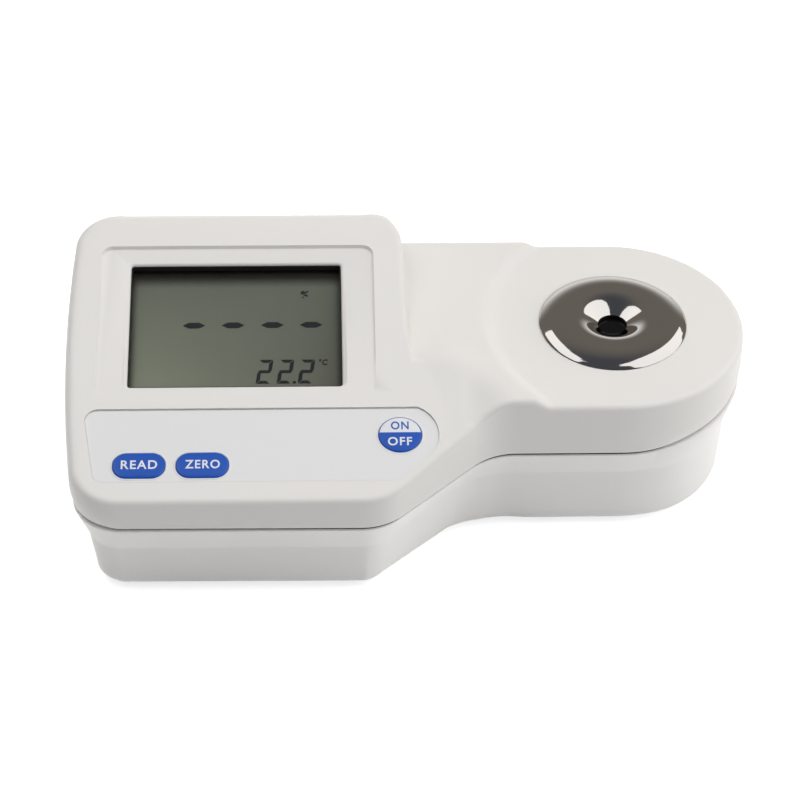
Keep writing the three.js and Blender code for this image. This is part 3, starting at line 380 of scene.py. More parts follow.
back_line = [(ARC_X, HALF_DEPTH, 0, 1, CREST), (left_part[0][0], HALF_DEPTH, 0, 1, CREST)]
neck_back = [(HEAD_X, HALF_DEPTH, 0, 1, EDGE), (ARC_X, HALF_DEPTH, 0, 1, EDGE)]
wall_rows = []
for y in np.linspace(WALL_START_Y, ARC_Y, 41):
    step = panel_height(WALL_X, y) - float(neck_height(WALL_X + DRAFT, y))
    wall_rows.append((WALL_X, y, 1, 0, min(WALL_EDGE, 0.6 * max(step, 0))))
corner_rows = arc(ARC_X, ARC_Y, BACK_CORNER, 0, 90, 24, WALL_EDGE, CREST)
display_lines = [np.array(left_part + bend_part[:1]), np.array(back_line),
                 np.array(wall_rows + corner_rows[1:])]
neck_lines = [np.array(left_part[-4:] + bend_part), np.array(bend_part[-1:] + head_part),
              np.array(head_part[-1:] + neck_back)]


def top_height(points):
    """Height of the upper casing's outside, before the recesses are cut."""
    x, y = points.T
    w = wall_offset(x, y)
    display = rounded(panel_height, points, *nearest(points, display_lines))
    neck = rounded(neck_height, points, *nearest(points, neck_lines))
    step = panel_height(x, y) - neck
    foot = np.clip(FOOT_SHARE * step, 0, FOOT_OFFSETS[-1])
    beyond = np.clip(foot - (w - DRAFT), 0, foot)
    neck = neck + foot - np.sqrt(np.maximum(foot ** 2 - beyond ** 2, 0))
    share = np.clip(w / DRAFT, 0, 1)
    return np.where(w <= 1e-4, display, np.where(w >= DRAFT - 1e-4, neck, display + (neck - display) * share))


def at_the_ends(x):
    """Share of the left side and share of the head's right end that a place belongs to."""
    return smooth_step((LEFT_END - x) / LEFT_FADE), smooth_step((x - RIGHT_END) / RIGHT_FADE)


def leaning(points):
    """The display wall leans a little to the left towards the back."""
    p = np.array(points, float)
    off = p[:, 0] - WALL_X
    near = 1 - smooth_step(np.where(off < 0, -off / LEAN_REACH[0], off / LEAN_REACH[1]))
    p[:, 0] -= WALL_LEAN * near * np.clip((p[:, 1] - WALL_START_Y) / (ARC_Y - WALL_START_Y), 0, 1)
    return p


def upper_casing():
    """The plan is cut in triangles along its edges and the rounded places, then raised and given walls."""
    verts, edges = [], []

    def line(rows, closed=False):
        start = len(verts)
        verts.extend((float(r[0]), float(r[1])) for r in rows)
        edges.extend((start + i, start + i + 1) for i in range(len(rows) - 1))
        if closed:
            edges.append((len(verts) - 1, start))
        return list(range(start, len(verts)))

    def moved(rows, inset):
        return [(r[0] - r[2] * inset, r[1] - r[3] * inset) for r in rows]

    def along_back(y, x_end):
        return moved(straight(HEAD_X, x_end, y, 1), 0) + [(x_end, y)]

    # The rim, with a place wherever another line ends on it
    rim_part = left_part + bend_part + head_part
    back_xs = np.linspace(ARC_X, left_part[0][0], 24)[:-1]
    ends = [ARC_X + math.sqrt((BACK_CORNER + DRAFT + off) ** 2 - BACK_CORNER ** 2) for off in FOOT_OFFSETS]
    rim = moved(rim_part, 0) + along_back(HALF_DEPTH, ends[-1])
    rim += [(x, HALF_DEPTH) for x in (*ends[-2::-1], *back_xs)]
    clean = [p for i, p in enumerate(rim) if math.dist(p, rim[(i + 1) % len(rim)]) > 1e-3]
    boundary = line(clean, closed=True)

    for inset in INSETS:
        x_end = ARC_X + math.sqrt((BACK_CORNER + DRAFT) ** 2 - (BACK_CORNER - inset) ** 2)
        wall = moved(wall_rows + corner_rows[1:], inset) if inset < WALL_REACH else []
        back = [(x, HALF_DEPTH - inset) for x in back_xs[1:]]
        if inset < RIM_REACH:
            line(wall + back + moved(rim_part, inset) + along_back(HALF_DEPTH - inset, x_end))
        else:
            line(wall + back + moved(left_part[:LEFT_REACH], inset))
    line(moved(wall_rows + corner_rows[1:-1], 0))
    for off, end in zip(FOOT_OFFSETS, ends):
        radius = BACK_CORNER + DRAFT + off
        last = math.degrees(math.asin(BACK_CORNER / radius))
        round_corner = moved(arc(ARC_X, ARC_Y, radius, 0, last, 24)[1:-1], 0)
        line(moved(wall_rows, -DRAFT - off) + round_corner + [(end, HALF_DEPTH)])

    # A plain grid where the surface curves
    free = grid_inside(np.arange(GRID_START, HALF_LENGTH), np.arange(FRONT_Y, HALF_DEPTH), np.array(clean))
    beside_wall = (wall_offset(*free.T) <= DRAFT + FOOT_CLEAR) & (free[:, 1] >= WALL_START_Y - 0.4)
    verts.extend(map(tuple, free[(nearest(free, neck_lines)[0] > GRID_CLEAR) & ~beside_wall]))

    plan, faces, loop = triangulated(verts, edges, boundary)
    points = [(*p, h) for p, h in zip(plan, top_height(plan))]
    edge_lines = [np.array(left_part), *neck_lines, np.array(back_line)]
    outline = np.hstack([plan[loop], nearest(plan[loop], edge_lines)[1]])
    ends = END_TAPER * sum(at_the_ends(outline[:, 0]))
    rows = [loop]
    for rise, inset, taper in WALL_ROWS:
        rows.append(range(len(points), len(points) + len(loop)))
        points += map(tuple, level(outline, height_of(PARTING, -rise), inset + taper * ends))
    for high, low in zip(rows, rows[1:]):
        faces += strip(low, high)
    faces.append(tuple(rows[-1])[::-1])
    return mesh_object("upper_casing", leaning(points), faces)


def inside_of_upper():
    """The room inside the upper casing, a wall's thickness under its surface."""
    outline = level(casing_outline, 0, UPPER_WALL)[:, :2]
    free = grid_inside(np.arange(-94, 96, COARSE), np.arange(-48, 49, COARSE), outline)
    far = nearest(free, [np.array([(*p, 0, 1, 0) for p in (*outline, outline[0])])])[0]
    plan, top, loop = triangulated([*outline, *free[far > COARSE_CLEAR]], [], list(range(len(outline))))
    around = circle(0, 0, UPPER_WALL + 1, 8)[:, :2]
    lowest = np.min([base_top(plan + step) for step in (np.zeros(2), *around)], 0)
    low = height_of(PARTING, 5)(*plan.T)
    height = np.maximum(lowest - UPPER_WALL, low + 6)
    points = [(*p, h) for heights in (height, low) for p, h in zip(plan, heights)]
    under = lambda face: [i + len(plan) for i in face]
    faces = top + [tuple(under(t))[::-1] for t in top] + strip(under(loop), loop)
    return mesh_object("inside_upper", points, faces)


def base_top(points):
    """Height of the outside without its roundings."""
    x, y = points.T
    return np.where(wall_offset(x, y) <= 0, panel_height(x, y), neck_height(x, y))


# Display, film and keys in the panel's frame
OPENING = (-78.95, -18.75, 40.15, PANEL_LENGTH - 22.8)
OPENING_DEPTH, MASK_TOP, MASK_THICKNESS = 3.3, -1.55, 0.3
RECESS = (-87.7, -9.3, 31.8, PANEL_LENGTH - 16.46)
RECESS_FADE, RECESS_DEPTH, RECESS_CORNER = 37.0, 1.0, 3.5
KEY_SIZE, KEY_CORNER = (14.64, 8.7), 4.0
KEYS = READ_KEY, ZERO_KEY, POWER_KEY = (-74.8, 12.52), (-57.5, 12.52), (-3.16, 22.38)
POWER_RADIUS = 6.1
# The film's edges and the radius of its round end, how deep it lies at its two edges, and its thickness
FILM_S0, FILM_S1, FILM_X0, FILM_X1 = 7.0, 31.8, -90.2, -87.4
FILM_ARC, FILM_SINK, FILM_SINK_LOW, FILM_THICKNESS = 10.75, 0.85, 0.3, 0.25
OPENING_LINE = rectangle(*OPENING, 0.95, 6)


def film_floor(x, s):
    """The film lies deeper under the panel towards the back."""
    return -FILM_SINK_LOW - (FILM_SINK - FILM_SINK_LOW) / (FILM_S1 - FILM_S0) * (s - FILM_S0)


def film_outline():
    """The film narrows to a slanted end that bends around the round key."""
    slant = POWER_KEY[0] - POWER_KEY[1] + FILM_ARC * math.sqrt(2)
    small, low, top = 2.0, 3.0, 3.7
    reach = FILM_ARC - small
    end = math.degrees(math.asin((FILM_S1 - small - POWER_KEY[1]) / reach))
    return outline_of(
        arc(FILM_X1 + low, FILM_S0 + low, low, 188, 270, 10),
        arc(slant + FILM_S0 - low * math.tan(math.pi / 8), FILM_S0 + low, low, 270, 315, 8),
        arc(*POWER_KEY, FILM_ARC, -45, end, 36),
        arc(POWER_KEY[0] + reach * math.cos(math.radians(end)), FILM_S1 - small, small, end, 90, 6),
        arc(FILM_X0 + top, FILM_S1 - top, top, 90, 184, 14))


def key_outline(key, margin=0.0):
    """A circle for the round key, a rounded rectangle for the others."""
    if key is POWER_KEY:
        return circle(*key, POWER_RADIUS + margin)
    (x, s), half_x, half_s = key, KEY_SIZE[0] / 2 + margin, KEY_SIZE[1] / 2 + margin
    return rectangle(x - half_x, x + half_x, s - half_s, s + half_s, KEY_CORNER + margin, 12)


def recess_height(share, rise=0.0):
    """A share of the slope of the recess, which grows deeper towards the back."""
    return lambda x, s: rise - share * RECESS_DEPTH * (s - RECESS_FADE) / (RECESS[3] - RECESS_FADE)


# Screw posts: where the upper and lower ones meet, and their holes; the thicker place around the display,
# and the holes for keys and ring
post_split = height_of(PARTING, 4.0)
POST_RADIUS, PILOT_RADIUS, HEAD_HOLE, SEAT_DEPTH, PILOT_DEPTH = 3.3, 1.75, 2.9, 3.0, 8.3
PAD_MARGIN, PAD_TOP, KEY_HOLE_MARGIN, RING_HOLE = 2.4, -1.6, 0.25, 17.3
# The rounded edge of the display's opening, as heights and insets from below
WELL_EDGE = [(-1.75, 0.05), (-1.5, -0.02), (-1.3, -0.12), (-1.12, -0.28), (-0.98, -0.5), (-0.85, -0.8),
             (-0.7, -1.2)]
THIRDS = (0, 120, 240)


def build_upper():
    """Hollow, with screw posts and a thicker place around the display, then its recesses and openings."""
    shell = boolean(upper_casing(), [inside_of_upper()])
    tops = base_top(np.array(SCREWS, float)) - UPPER_WALL / 2
    posts = [rod("post", POST_RADIUS, post_split(x, y) + 0.3, top, x, y, 32)
             for (x, y), top in zip(SCREWS, tops)]
    pad = stack("pad", OPENING_LINE, ((-OPENING_DEPTH, -PAD_MARGIN), (PAD_TOP, -PAD_MARGIN)), panel_frame)
    boolean(shell, [join(posts, "posts"), pad], "UNION")
    recess_cut = stack("recess", rectangle(*RECESS, RECESS_CORNER, 10), [
        (recess_height(1), 0.9), (recess_height(1, 0.12), 0.55), (recess_height(0.5, 0.02), 0.3),
        (recess_height(0.12, 0.02), 0.08), (0.03, 0), (4, -0.5)], panel_frame)
    film_cut = stack("film_cut", film_outline(), [(film_floor, -0.06), (0, -0.06), (5, -0.9)], panel_frame)
    well = stack("well", OPENING_LINE, [(-OPENING_DEPTH - 5, 0.05), *WELL_EDGE, (5, -1.4)], panel_frame)
    holes = [prism("hole", key_outline(key, KEY_HOLE_MARGIN), -10, 5, panel_frame) for key in KEYS]
    ring_hole = rod("ring_hole", RING_HOLE, -10, 5, sides=96, place=head_frame)
    pilots = [rod("pilot", PILOT_RADIUS, post_split(x, y) - 1, post_split(x, y) + PILOT_DEPTH, x, y, 24)
              for x, y in SCREWS]
    return boolean(shell, [recess_cut, film_cut, well, join(holes, "holes"), ring_hole,
                           join(pilots, "pilots")])


# Lower casing: drops and insets around its crease, what its insets gain at the left and the right end, and
# how much further in its base lies along the diagonal
CREASE_ROWS = [(1.1, 0.1), (0.4, 0.03), (0.0, -0.08), (-0.4, -0.24), (-0.9, -0.46)]
BASE_ENDS, CREASE_ENDS, RIM_END, DIAGONAL_SHARE = (1.1, -0.8), (0.3, -1.1), -0.5, 0.4
DIAGONAL_X, DIAGONAL_INSET = (-12.0, 0.6, 6.2, 11.9, 17.5, 23.0, 34.0), (0.0, 1.8, 2.8, 3.5, 2.9, 1.1, 0.0)


def rim_height(x, y):
    """Top of the lower casing: it lies closer to the upper one at the two ends."""
    return height_of(PARTING, CASE_GAP)(x, y) + END_CLOSE * sum(at_the_ends(x))


def lower_rows(wall, rim):
    """Heights and insets of the lower casing's outside, or of its inside a wall further in."""
    x, y = casing_outline[:, :2].T
    left, right = at_the_ends(x)
    diagonal = np.where(y < 0, np.interp(x, DIAGONAL_X, DIAGONAL_INSET), 0)
    base = BASE_INSET + wall + BASE_ENDS[0] * left + BASE_ENDS[1] * right + diagonal
    side = CREASE_INSET + wall + CREASE_ENDS[0] * left + CREASE_ENDS[1] * right + DIAGONAL_SHARE * diagonal
    edge = RIM_INSET + wall + RIM_END * right
    radius = BASE_RADIUS - wall / 2
    rows = [(BASE_HEIGHT + wall + radius * (1 - math.sin(angle)), base + radius * (1 - math.cos(angle)))
            for angle in np.linspace(math.pi / 2, 0, 9)]
    rows += [(height_of(PARTING, CREASE_DROP + drop), side + inset) for drop, inset in CREASE_ROWS]
    lip = [(0.0, 0.0)] if wall else [(-0.5, 0.0), (-0.2, 0.08), (-0.05, 0.25), (0.0, 0.5)]
    return rows + [(raised(rim, rise), edge + inset) for rise, inset in lip]


def sector(name, radius, low, high, angle, half):
    rows = [(BATTERY_X, 0, 0, 0, 0)] + arc(BATTERY_X, 0, radius, angle - half, angle + half, 10)
    return prism(name, np.array(rows), low, high)


COVER_RADIUS, CUP_RADIUS, SEAL_FACE, SEAL_BACK = 29.6, 32.0, 1.05, 3.2
LIP_TOP = BASE_HEIGHT + 2.0


def build_lower():
    """Hollow, with screw posts, then the way in for the battery cover, seats for the feet and screw holes."""
    shell = stack("lower_casing", casing_outline, lower_rows(0, rim_height))
    boolean(shell, [stack("inside_lower", casing_outline, lower_rows(LOWER_WALL, height_of(PARTING, -5)))])
    posts = [rod("post", POST_RADIUS, BASE_HEIGHT + 1, post_split(x, y), x, y, 32) for x, y in SCREWS]
    boolean(shell, [join(posts, "posts")], "UNION")
    hole, base = COVER_RADIUS + 0.3, BASE_HEIGHT
    cover_hole = lathe("cover_hole", [
        (0, -5), (hole + 0.7, -5), (hole + 0.7, base - 0.1), (hole + 0.45, base + 0.15), (hole, base + 0.45),
        (hole, LIP_TOP + 0.3), (CUP_RADIUS, LIP_TOP + 0.3), (CUP_RADIUS, 12), (0, 12)], 144, x=BATTERY_X)
    notches = [sector("notch", COVER_RADIUS + 2, -5, LIP_TOP + 0.3, angle + 35, 14) for angle in THIRDS]
    seat = [(0, -5), (5.55, -5), (5.55, base - 0.1), (5.25, base + 0.2), (5.25, base + 1.2), (0, base + 1.2)]
    seats = [lathe("seat", seat, 64, x=x, y=y) for x, y in FEET.values()]
    holes = []
    for x, y in SCREWS:
        seat, end = post_split(x, y) - SEAT_DEPTH, post_split(x, y) + 5
        profile = [(0, -5), (3.5, -5), (3.5, base - 0.1), (HEAD_HOLE, base + 0.5), (HEAD_HOLE, seat),
                   (PILOT_RADIUS, seat), (PILOT_RADIUS, end), (0, end)]
        holes.append(lathe("hole", profile, 32, x=x, y=y))
    return boolean(shell, [cover_hole, *notches, join(seats, "seats"), join(holes, "holes")])


def build_gasket():
    """The dark seal, set back in the gap and following the taper of the upper casing at the two ends."""
    outer, inner = SEAL_FACE + END_TAPER * sum(at_the_ends(casing_outline[:, 0])), SEAL_BACK
    foot, top = raised(rim_height, 0.02), height_of(PARTING, 0.03)
    rows = ((foot, outer), (top, outer), (top, inner), (foot, inner))
    return stack("casing_seal", casing_outline, rows, hollow=True)


# Keys and film: heights over the film or under the panel; the edge and the dome of a cap as insets and rises
KEY_RAISE, KEY_DEPTH, KEY_GAP = 0.45, 2.9, 0.03
FLANGE_MARGIN, FLANGE_THICKNESS, PLUNGER_RADIUS = 1.2, 1.0, 2.0
BOARD_DEPTH, SWITCH_HEIGHT, STEM_HEIGHT, KEY_TRAVEL, PLUNGER_GAP = 9.0, 3.0, 0.4, 0.5, 0.1
KEY_EDGE = [(0.0, -0.75), (0.04, -0.5), (0.15, -0.28), (0.35, -0.12), (0.7, 0.0)]
KEY_DOME = [(1.2, 0.08), (1.8, 0.12), (2.4, 0.14)]
HALO_WIDTH, HALO_RISE = 0.55, 0.12
PRINT_SINK, PRINT_THICKNESS, LETTER_SPACING = 0.005, 0.03, 1.16
film_top = raised(film_floor, FILM_THICKNESS)
key_face = raised(film_top, KEY_RAISE)
KEY_SPLIT_S, KEY_LINE = 23.05, 0.35


def build_film():
    sheet = stack("keypad_film", film_outline(), [(raised(film_floor, 0.01), 0), (raised(film_top, -0.06), 0),
                                                  (film_top, 0.06)], panel_frame)
    rim = [(-0.1, HALO_WIDTH + 0.25), (0, HALO_WIDTH), (HALO_RISE, HALO_WIDTH - 0.2), (HALO_RISE, 0.2),
           (HALO_RISE - 0.05, 0.1)]
    halos = [stack("halo", key_outline(key), [(raised(film_top, rise), -margin) for rise, margin in rim],
                   panel_frame) for key in KEYS]
    boolean(sheet, [join(halos, "halos")], "UNION", 8)
    windows = [prism("window", key_outline(key, KEY_GAP), -3, 3, panel_frame) for key in KEYS]
    return boolean(sheet, [join(windows, "windows")], angle=8)


def build_key(name, key, dome):
    """A cap that stands through the film, its flange under the casing and its plunger to the switch."""
    rows = [(-KEY_DEPTH - FLANGE_THICKNESS, -FLANGE_MARGIN), (-KEY_DEPTH, -FLANGE_MARGIN), (-KEY_DEPTH, 0)]
    rows += [(raised(key_face, rise), inset) for inset, rise in KEY_EDGE + dome]
    low = SWITCH_HEIGHT + STEM_HEIGHT - BOARD_DEPTH + KEY_TRAVEL + PLUNGER_GAP
    plunger = rod("plunger", PLUNGER_RADIUS, low, -KEY_DEPTH - 0.5, *key, place=panel_frame)
    return boolean(stack(name, key_outline(key), rows, panel_frame, 60), [plunger], "UNION", 60)


def print_white_half(cap):
    """The upper half of the round key's face takes its second finish."""
    form = bmesh.new()
    form.from_mesh(cap.data)
    inverse = panel_frame.inverted()
    along = panel_frame.to_3x3() @ Vector((0, 1, 0))
    split = panel_frame @ Vector((0, KEY_SPLIT_S, 0)) * MM
    geometry = form.verts[:] + form.edges[:] + form.faces[:]
    bmesh.ops.bisect_plane(form, geom=geometry, plane_co=split, plane_no=along)
    for face in form.faces:
        place = inverse @ (face.calc_center_median() / MM)
        out = math.dist(place[:2], POWER_KEY)
        above = place.z > key_face(*place[:2]) + KEY_EDGE[2][1]
        if above and place.y > KEY_SPLIT_S and out < POWER_RADIUS - KEY_LINE + 0.02:
            face.material_index = 1
    form.to_mesh(cap.data)
    form.free()
    shade(cap, 60)


def lettering(name, text, x0, x1, s0, s1, height, weight=0.02, lean=0.0):
    """Words as thin raised print, fitted to a box on a face of the panel."""
    curve = bpy.data.curves.new(name, "FONT")
    curve.body = text
    curve.offset = weight
    curve.shear = lean
    curve.space_character = LETTER_SPACING
    curve.resolution_u = 6
    curve.extrude = 0.5
    source = add_object(name, curve)
    mesh = evaluated_mesh(source)
    bpy.data.objects.remove(source)
    points = np.array([tuple(v.co) for v in mesh.vertices])
    faces = [tuple(p.vertices) for p in mesh.polygons]
    bpy.data.meshes.remove(mesh)
    low, high = points.min(0), points.max(0)
    share = (points - low) / (high - low)
    x = x0 + (x1 - x0) * share[:, 0]
    s = s0 + (s1 - s0) * share[:, 1]
    n = (height(x, s) if callable(height) else height) + PRINT_THICKNESS * share[:, 2]
    return mesh_object(name, np.stack([x, s, n], 1), faces, panel_frame)


# What the display shows, on the glass under its window
GLASS_TOP = -4.5
DIGIT_WIDTH, DIGIT_HEIGHT, DIGIT_PITCH, DIGIT_LEAN = 4.0, 8.4, 5.86, 0.12
DIGIT_STROKE, DIGIT_GAP = 1.05, 0.12
DASH_WIDTH, DASH_HEIGHT, DASH_POINT = 6.5, 2.1, 1.8
DASHES = [-60.6, -49.55, -38.42, -27.45]
DASH_S, DIGITS_X, DIGITS_S = 61.03, -43.1, 40.2
DOT_X = DIGITS_X + 2 * DIGIT_PITCH - 1.35
# The camera's sight lines between the panel's plane and the glass: how far they run sideways and to the back
SIGHT_SIDE, SIGHT_START, SIGHT_TURN, SIGHT_X = 1.21, -0.19, 0.00531, 63.8
SIGHT_BACK, SIGHT_SPREAD, SIGHT_S = 3.36, 0.0045, 40


def seen_on_glass(x, s):
    """A place seen on the panel's plane, moved to where that sight line meets the glass."""
    sideways = SIGHT_SIDE * (SIGHT_START + SIGHT_TURN * (x + SIGHT_X))
    return x + sideways, s + SIGHT_BACK + (s - SIGHT_S) * SIGHT_SPREAD


def digit_two(x, s):
    """The strokes of a seven-segment 2 whose foot stands at (x, s)."""
    w, h, t, g = DIGIT_WIDTH, DIGIT_HEIGHT, DIGIT_STROKE, DIGIT_GAP
    m = h / 2
    top = [(t + g, h - t), (w - t - g, h - t), (w - g, h), (g, h)]
    upright = [(w - t, m + t / 2 + g), (w - t / 2, m + g), (w, m + t / 2), (w, h - g), (w - t, h - t - g)]
    middle = [(g, m), (t / 2 + g, m - t / 2), (w - t / 2 - g, m - t / 2), (w - g, m),
              (w - t / 2 - g, m + t / 2), (t / 2 + g, m + t / 2)]
    bottom, low_upright = ([(w - px, h - ps) for px, ps in stroke] for stroke in (top, upright))
    return [[(x + px + ps * DIGIT_LEAN, s + ps) for px, ps in stroke]
            for stroke in (top, upright, middle, low_upright, bottom)]


def build_segments():
    half, tip, rise = DASH_WIDTH / 2, DASH_WIDTH / 2 - DASH_POINT, DASH_HEIGHT / 2
    dash = [(-half, 0), (-tip, -rise), (tip, -rise), (half, 0), (tip, rise), (-tip, rise)]
    shapes = [[(x + px, DASH_S + ps) for px, ps in dash] for x in DASHES]
    for i in range(3):
        shapes += digit_two(DIGITS_X + i * DIGIT_PITCH, DIGITS_S)
    shapes.append([(DOT_X + px, DIGITS_S + ps) for px, ps in ((0, 0), (0.85, 0), (0.95, 0.85), (0.1, 0.85))])
    strokes = []
    for shape in shapes:
        rings = [[(*seen_on_glass(x, s), n) for x, s in shape] for n in (GLASS_TOP + 0.005, GLASS_TOP + 0.03)]
        strokes.append(loft("stroke", rings, panel_frame))
    return join(strokes, "display_segments")


def build_mask():
    """The dark lining of the display's opening."""
    rows = [(-OPENING_DEPTH, 0.06), (MASK_TOP - 0.1, 0.06), (MASK_TOP, 0.1), (MASK_TOP, MASK_THICKNESS),
            (-OPENING_DEPTH, MASK_THICKNESS + 0.1)]
    return stack("display_mask", OPENING_LINE, rows, panel_frame, hollow=True)


def glass_words(name, text, x0, x1, s0, s1, weight, lean=0.2):
    (a, c), (b, d) = seen_on_glass(x0, s0), seen_on_glass(x1, s1)
    return lettering(name, text, a, b, c, d, GLASS_TOP + 0.005, weight, lean)


# The ring: crest, outer flank, funnel and the hub through the casing, in the head's frame
RING_LINE = [(4.2, -0.62), (5.0, -0.12), (6.0, 0.5), (7.0, 1.1), (8.0, 1.67), (9.0, 2.17), (10.0, 2.54),
             (11.0, 2.78), (12.0, 2.88), (13.0, 2.9), (13.8, 2.88), (14.9, 2.8), (16.2, 2.61), (17.4, 2.33),
             (18.6, 1.92), (19.7, 1.39), (20.58, 0.85)]
RING_RIM = [(21.05, 0.36), (21.24, 0.2), (21.3, 0.06), (21.24, 0.01)]
RING_HUB = [(17.0, 0.01), (17.0, -2.5), (8.6, -2.5), (8.6, -1.7), (5.9, -1.7), (5.9, -0.9), (4.2, -0.9)]


def build_ring():
    profile = [*RING_HUB, *spline(RING_LINE, 8), *RING_RIM, RING_HUB[0]]
    return lathe("polished_ring", profile, 256, head_frame, smooth=50)


def build_foot(name, x, y):
    """A rubber foot with a shallow hollow in its face."""
    height = BASE_HEIGHT + 1.1
    profile = [(0, 0.4), (3.0, 0.4), (3.35, 0.3), (3.6, 0.05), (3.8, 0.0), (4.4, 0.0), (4.7, 0.1),
               (4.92, 0.35), (5.0, 0.7), (5.0, height), (0, height)]
    return lathe(name, profile, 64, x=x, y=y)


def build_screw(name, x, y):
    """A pan head with a cross recess, and a threaded shank above it."""
    shank, head, head_height, length = 1.45, 2.6, 2.0, 11.1
    seat = post_split(x, y) - SEAT_DEPTH - 0.1
    low = seat - head_height
    profile = [(0, low), (0.7 * head, low + 0.04), (0.9 * head, low + 0.16 * head_height),
               (head, low + 0.5 * head_height), (head, seat), (shank, seat)]
    pitch = 0.55 * shank
    turn = seat + pitch
    while turn < seat + length - 1.5 * shank:
        profile += [(0.82 * shank, turn), (shank, turn + pitch / 2)]
        turn += pitch
    profile += [(0.8 * shank, turn), (0.3 * shank, seat + length - 0.1), (0, seat + length)]
    screw = lathe(name, profile, 32, x=x, y=y)
    arm, width, depth = 0.55 * head, 0.12 * head, 0.6 * head_height
    for a, b in ((arm, width), (width, arm)):
        corners = [(x + a * i, y + b * j, 0, 0, 0) for i, j in ((-1, -1), (1, -1), (1, 1), (-1, 1))]
        boolean(screw, [prism("cross", np.array(corners), low - 1, low + depth)])
    return screw


# Battery cover: its disc and lugs, its seal, its coin slot and its grip bars
COVER_LOW, COVER_TOP, LUG_LOW, LUG_THICKNESS, LUG_REACH = 0.8, 3.8, 3.1, 1.5, 1.7
SEAL_INNER, SEAL_WIDTH, SEAL_THICKNESS = 26.5, 1.6, 1.2
SLOT_LENGTH, SLOT_WIDTH, SLOT_DEPTH = 24.0, 3.0, 1.4
GRIP_START, GRIP_END, GRIP_SPACING = 18.0, 25.0, 2.2


def build_cover():
    """A disc with bayonet lugs, outside a coin slot and grip bars, inside a groove for its seal."""
    low, top, edge = COVER_LOW, COVER_TOP, COVER_RADIUS
    inner, outer, groove = SEAL_INNER - 0.2, SEAL_INNER + SEAL_WIDTH + 0.2, COVER_TOP - SEAL_THICKNESS - 0.1
    face = [(0, 0), (14.6, 0), (14.9, 0.25), (15.3, 0.25), (15.6, 0), (edge - 2.6, 0), (edge - 2.3, 0.3),
            (edge - 1.9, 0.3), (edge - 1.6, 0), (edge - 0.5, 0), (edge - 0.15, 0.15), (edge, 0.5)]
    profile = [(radius, low + rise) for radius, rise in face]
    profile += [(edge, top), (outer, top), (outer, groove), (inner, groove), (inner, top), (0, top)]
    cover = lathe("turn_cover", profile, 144, x=BATTERY_X)
    lugs = [sector("lug", edge + LUG_REACH, LUG_LOW, LUG_LOW + LUG_THICKNESS, angle, 11) for angle in THIRDS]
    boolean(cover, lugs, "UNION")
    inside = rod("inside", SEAL_INNER + SEAL_WIDTH / 2, top, top + 3, BATTERY_X, 0, 96)
    half_x, half_y = SLOT_LENGTH / 2, SLOT_WIDTH / 2
    slot_line = rectangle(BATTERY_X - half_x, BATTERY_X + half_x, -half_y, half_y, half_y - 0.05, 10)
    slot = stack("slot", slot_line, ((-5, -0.35), (low, -0.3), (low + 0.3, 0), (low + SLOT_DEPTH, 0)))
    grips = []
    for angle in range(30, 360, 60):
        turn = Matrix.Translation((BATTERY_X, 0, 0)) @ Matrix.Rotation(math.radians(angle), 4, "Z")
        for y in (-GRIP_SPACING, 0, GRIP_SPACING):
            bar = rectangle(GRIP_START, GRIP_END, y - 0.4, y + 0.4, 0.38, 6)
            grips.append(stack("grip", bar, ((-5, -0.1), (low, -0.1), (low + 0.35, 0.1)), turn))
    return boolean(cover, [inside, slot, join(grips, "grips")])


# A wave texture's band at scale 1, the slow noise in every finish, and how deep the grain is
WAVE_LENGTH, SLOW_SCALE, GRAIN_DEPTH = 2 * math.pi / 20, 38.0, 0.05


def feed(m, socket, value):
    """Give a socket a number, a vector, a colour or another node's output."""
    if isinstance(value, bpy.types.NodeSocket):
        m.node_tree.links.new(value, socket)
    else:
        socket.default_value = (*value, 1) if socket.type == "RGBA" else value


def add_node(m, kind, sockets, **settings):
    """A shader node with its attributes set and its sockets fed, by name or number."""
    made = m.node_tree.nodes.new(kind)
    for key, value in settings.items():
        setattr(made, key, value)
    for key, value in sockets.items():
        feed(m, made.inputs[key], value)
    return made.outputs


def place_in(m, place=None):
    """Coordinates in metres along the object, or in the panel's or head's own frame."""
    coordinates = add_node(m, "ShaderNodeTexCoord", {})["Object"]
    if place is None:
        return coordinates
    sockets = {"Vector": coordinates, "Location": place.to_translation() * MM, "Rotation": place.to_euler()}
    return add_node(m, "ShaderNodeMapping", sockets, vector_type="TEXTURE")["Vector"]


def noise(m, vector, scale, detail=3.0):
    return add_node(m, "ShaderNodeTexNoise", {"Vector": vector, "Scale": scale, "Detail": detail})["Fac"]


def ramp(m, value, low, high, to_low=0.0, to_high=1.0, smooth=False):
    sockets = {"Value": value, "From Min": low, "From Max": high, "To Min": to_low, "To Max": to_high}
    kind = "SMOOTHSTEP" if smooth else "LINEAR"
    return add_node(m, "ShaderNodeMapRange", sockets, interpolation_type=kind)["Result"]


def blend_colours(m, factor, a, b):
    return add_node(m, "ShaderNodeMix", {"Factor": factor, "A": a, "B": b}, data_type="RGBA")["Result"]


def calculated(m, operation, a, b):
    return add_node(m, "ShaderNodeMath", {0: a, 1: b}, operation=operation)["Value"]


def shader_of(m):
    return m.node_tree.nodes["Principled BSDF"]


def drive(m, socket, value):
    feed(m, shader_of(m).inputs[socket], value)


def shifted(colour, share):
    """A lighter or, with a share below zero, darker tone."""
    return tuple(min(c * (1 + share), 1) for c in colour)


def relief(m, height, strength, depth):
    bump = add_node(m, "ShaderNodeBump", {"Height": height, "Strength": strength, "Distance": depth * MM})
    drive(m, "Normal", bump["Normal"])


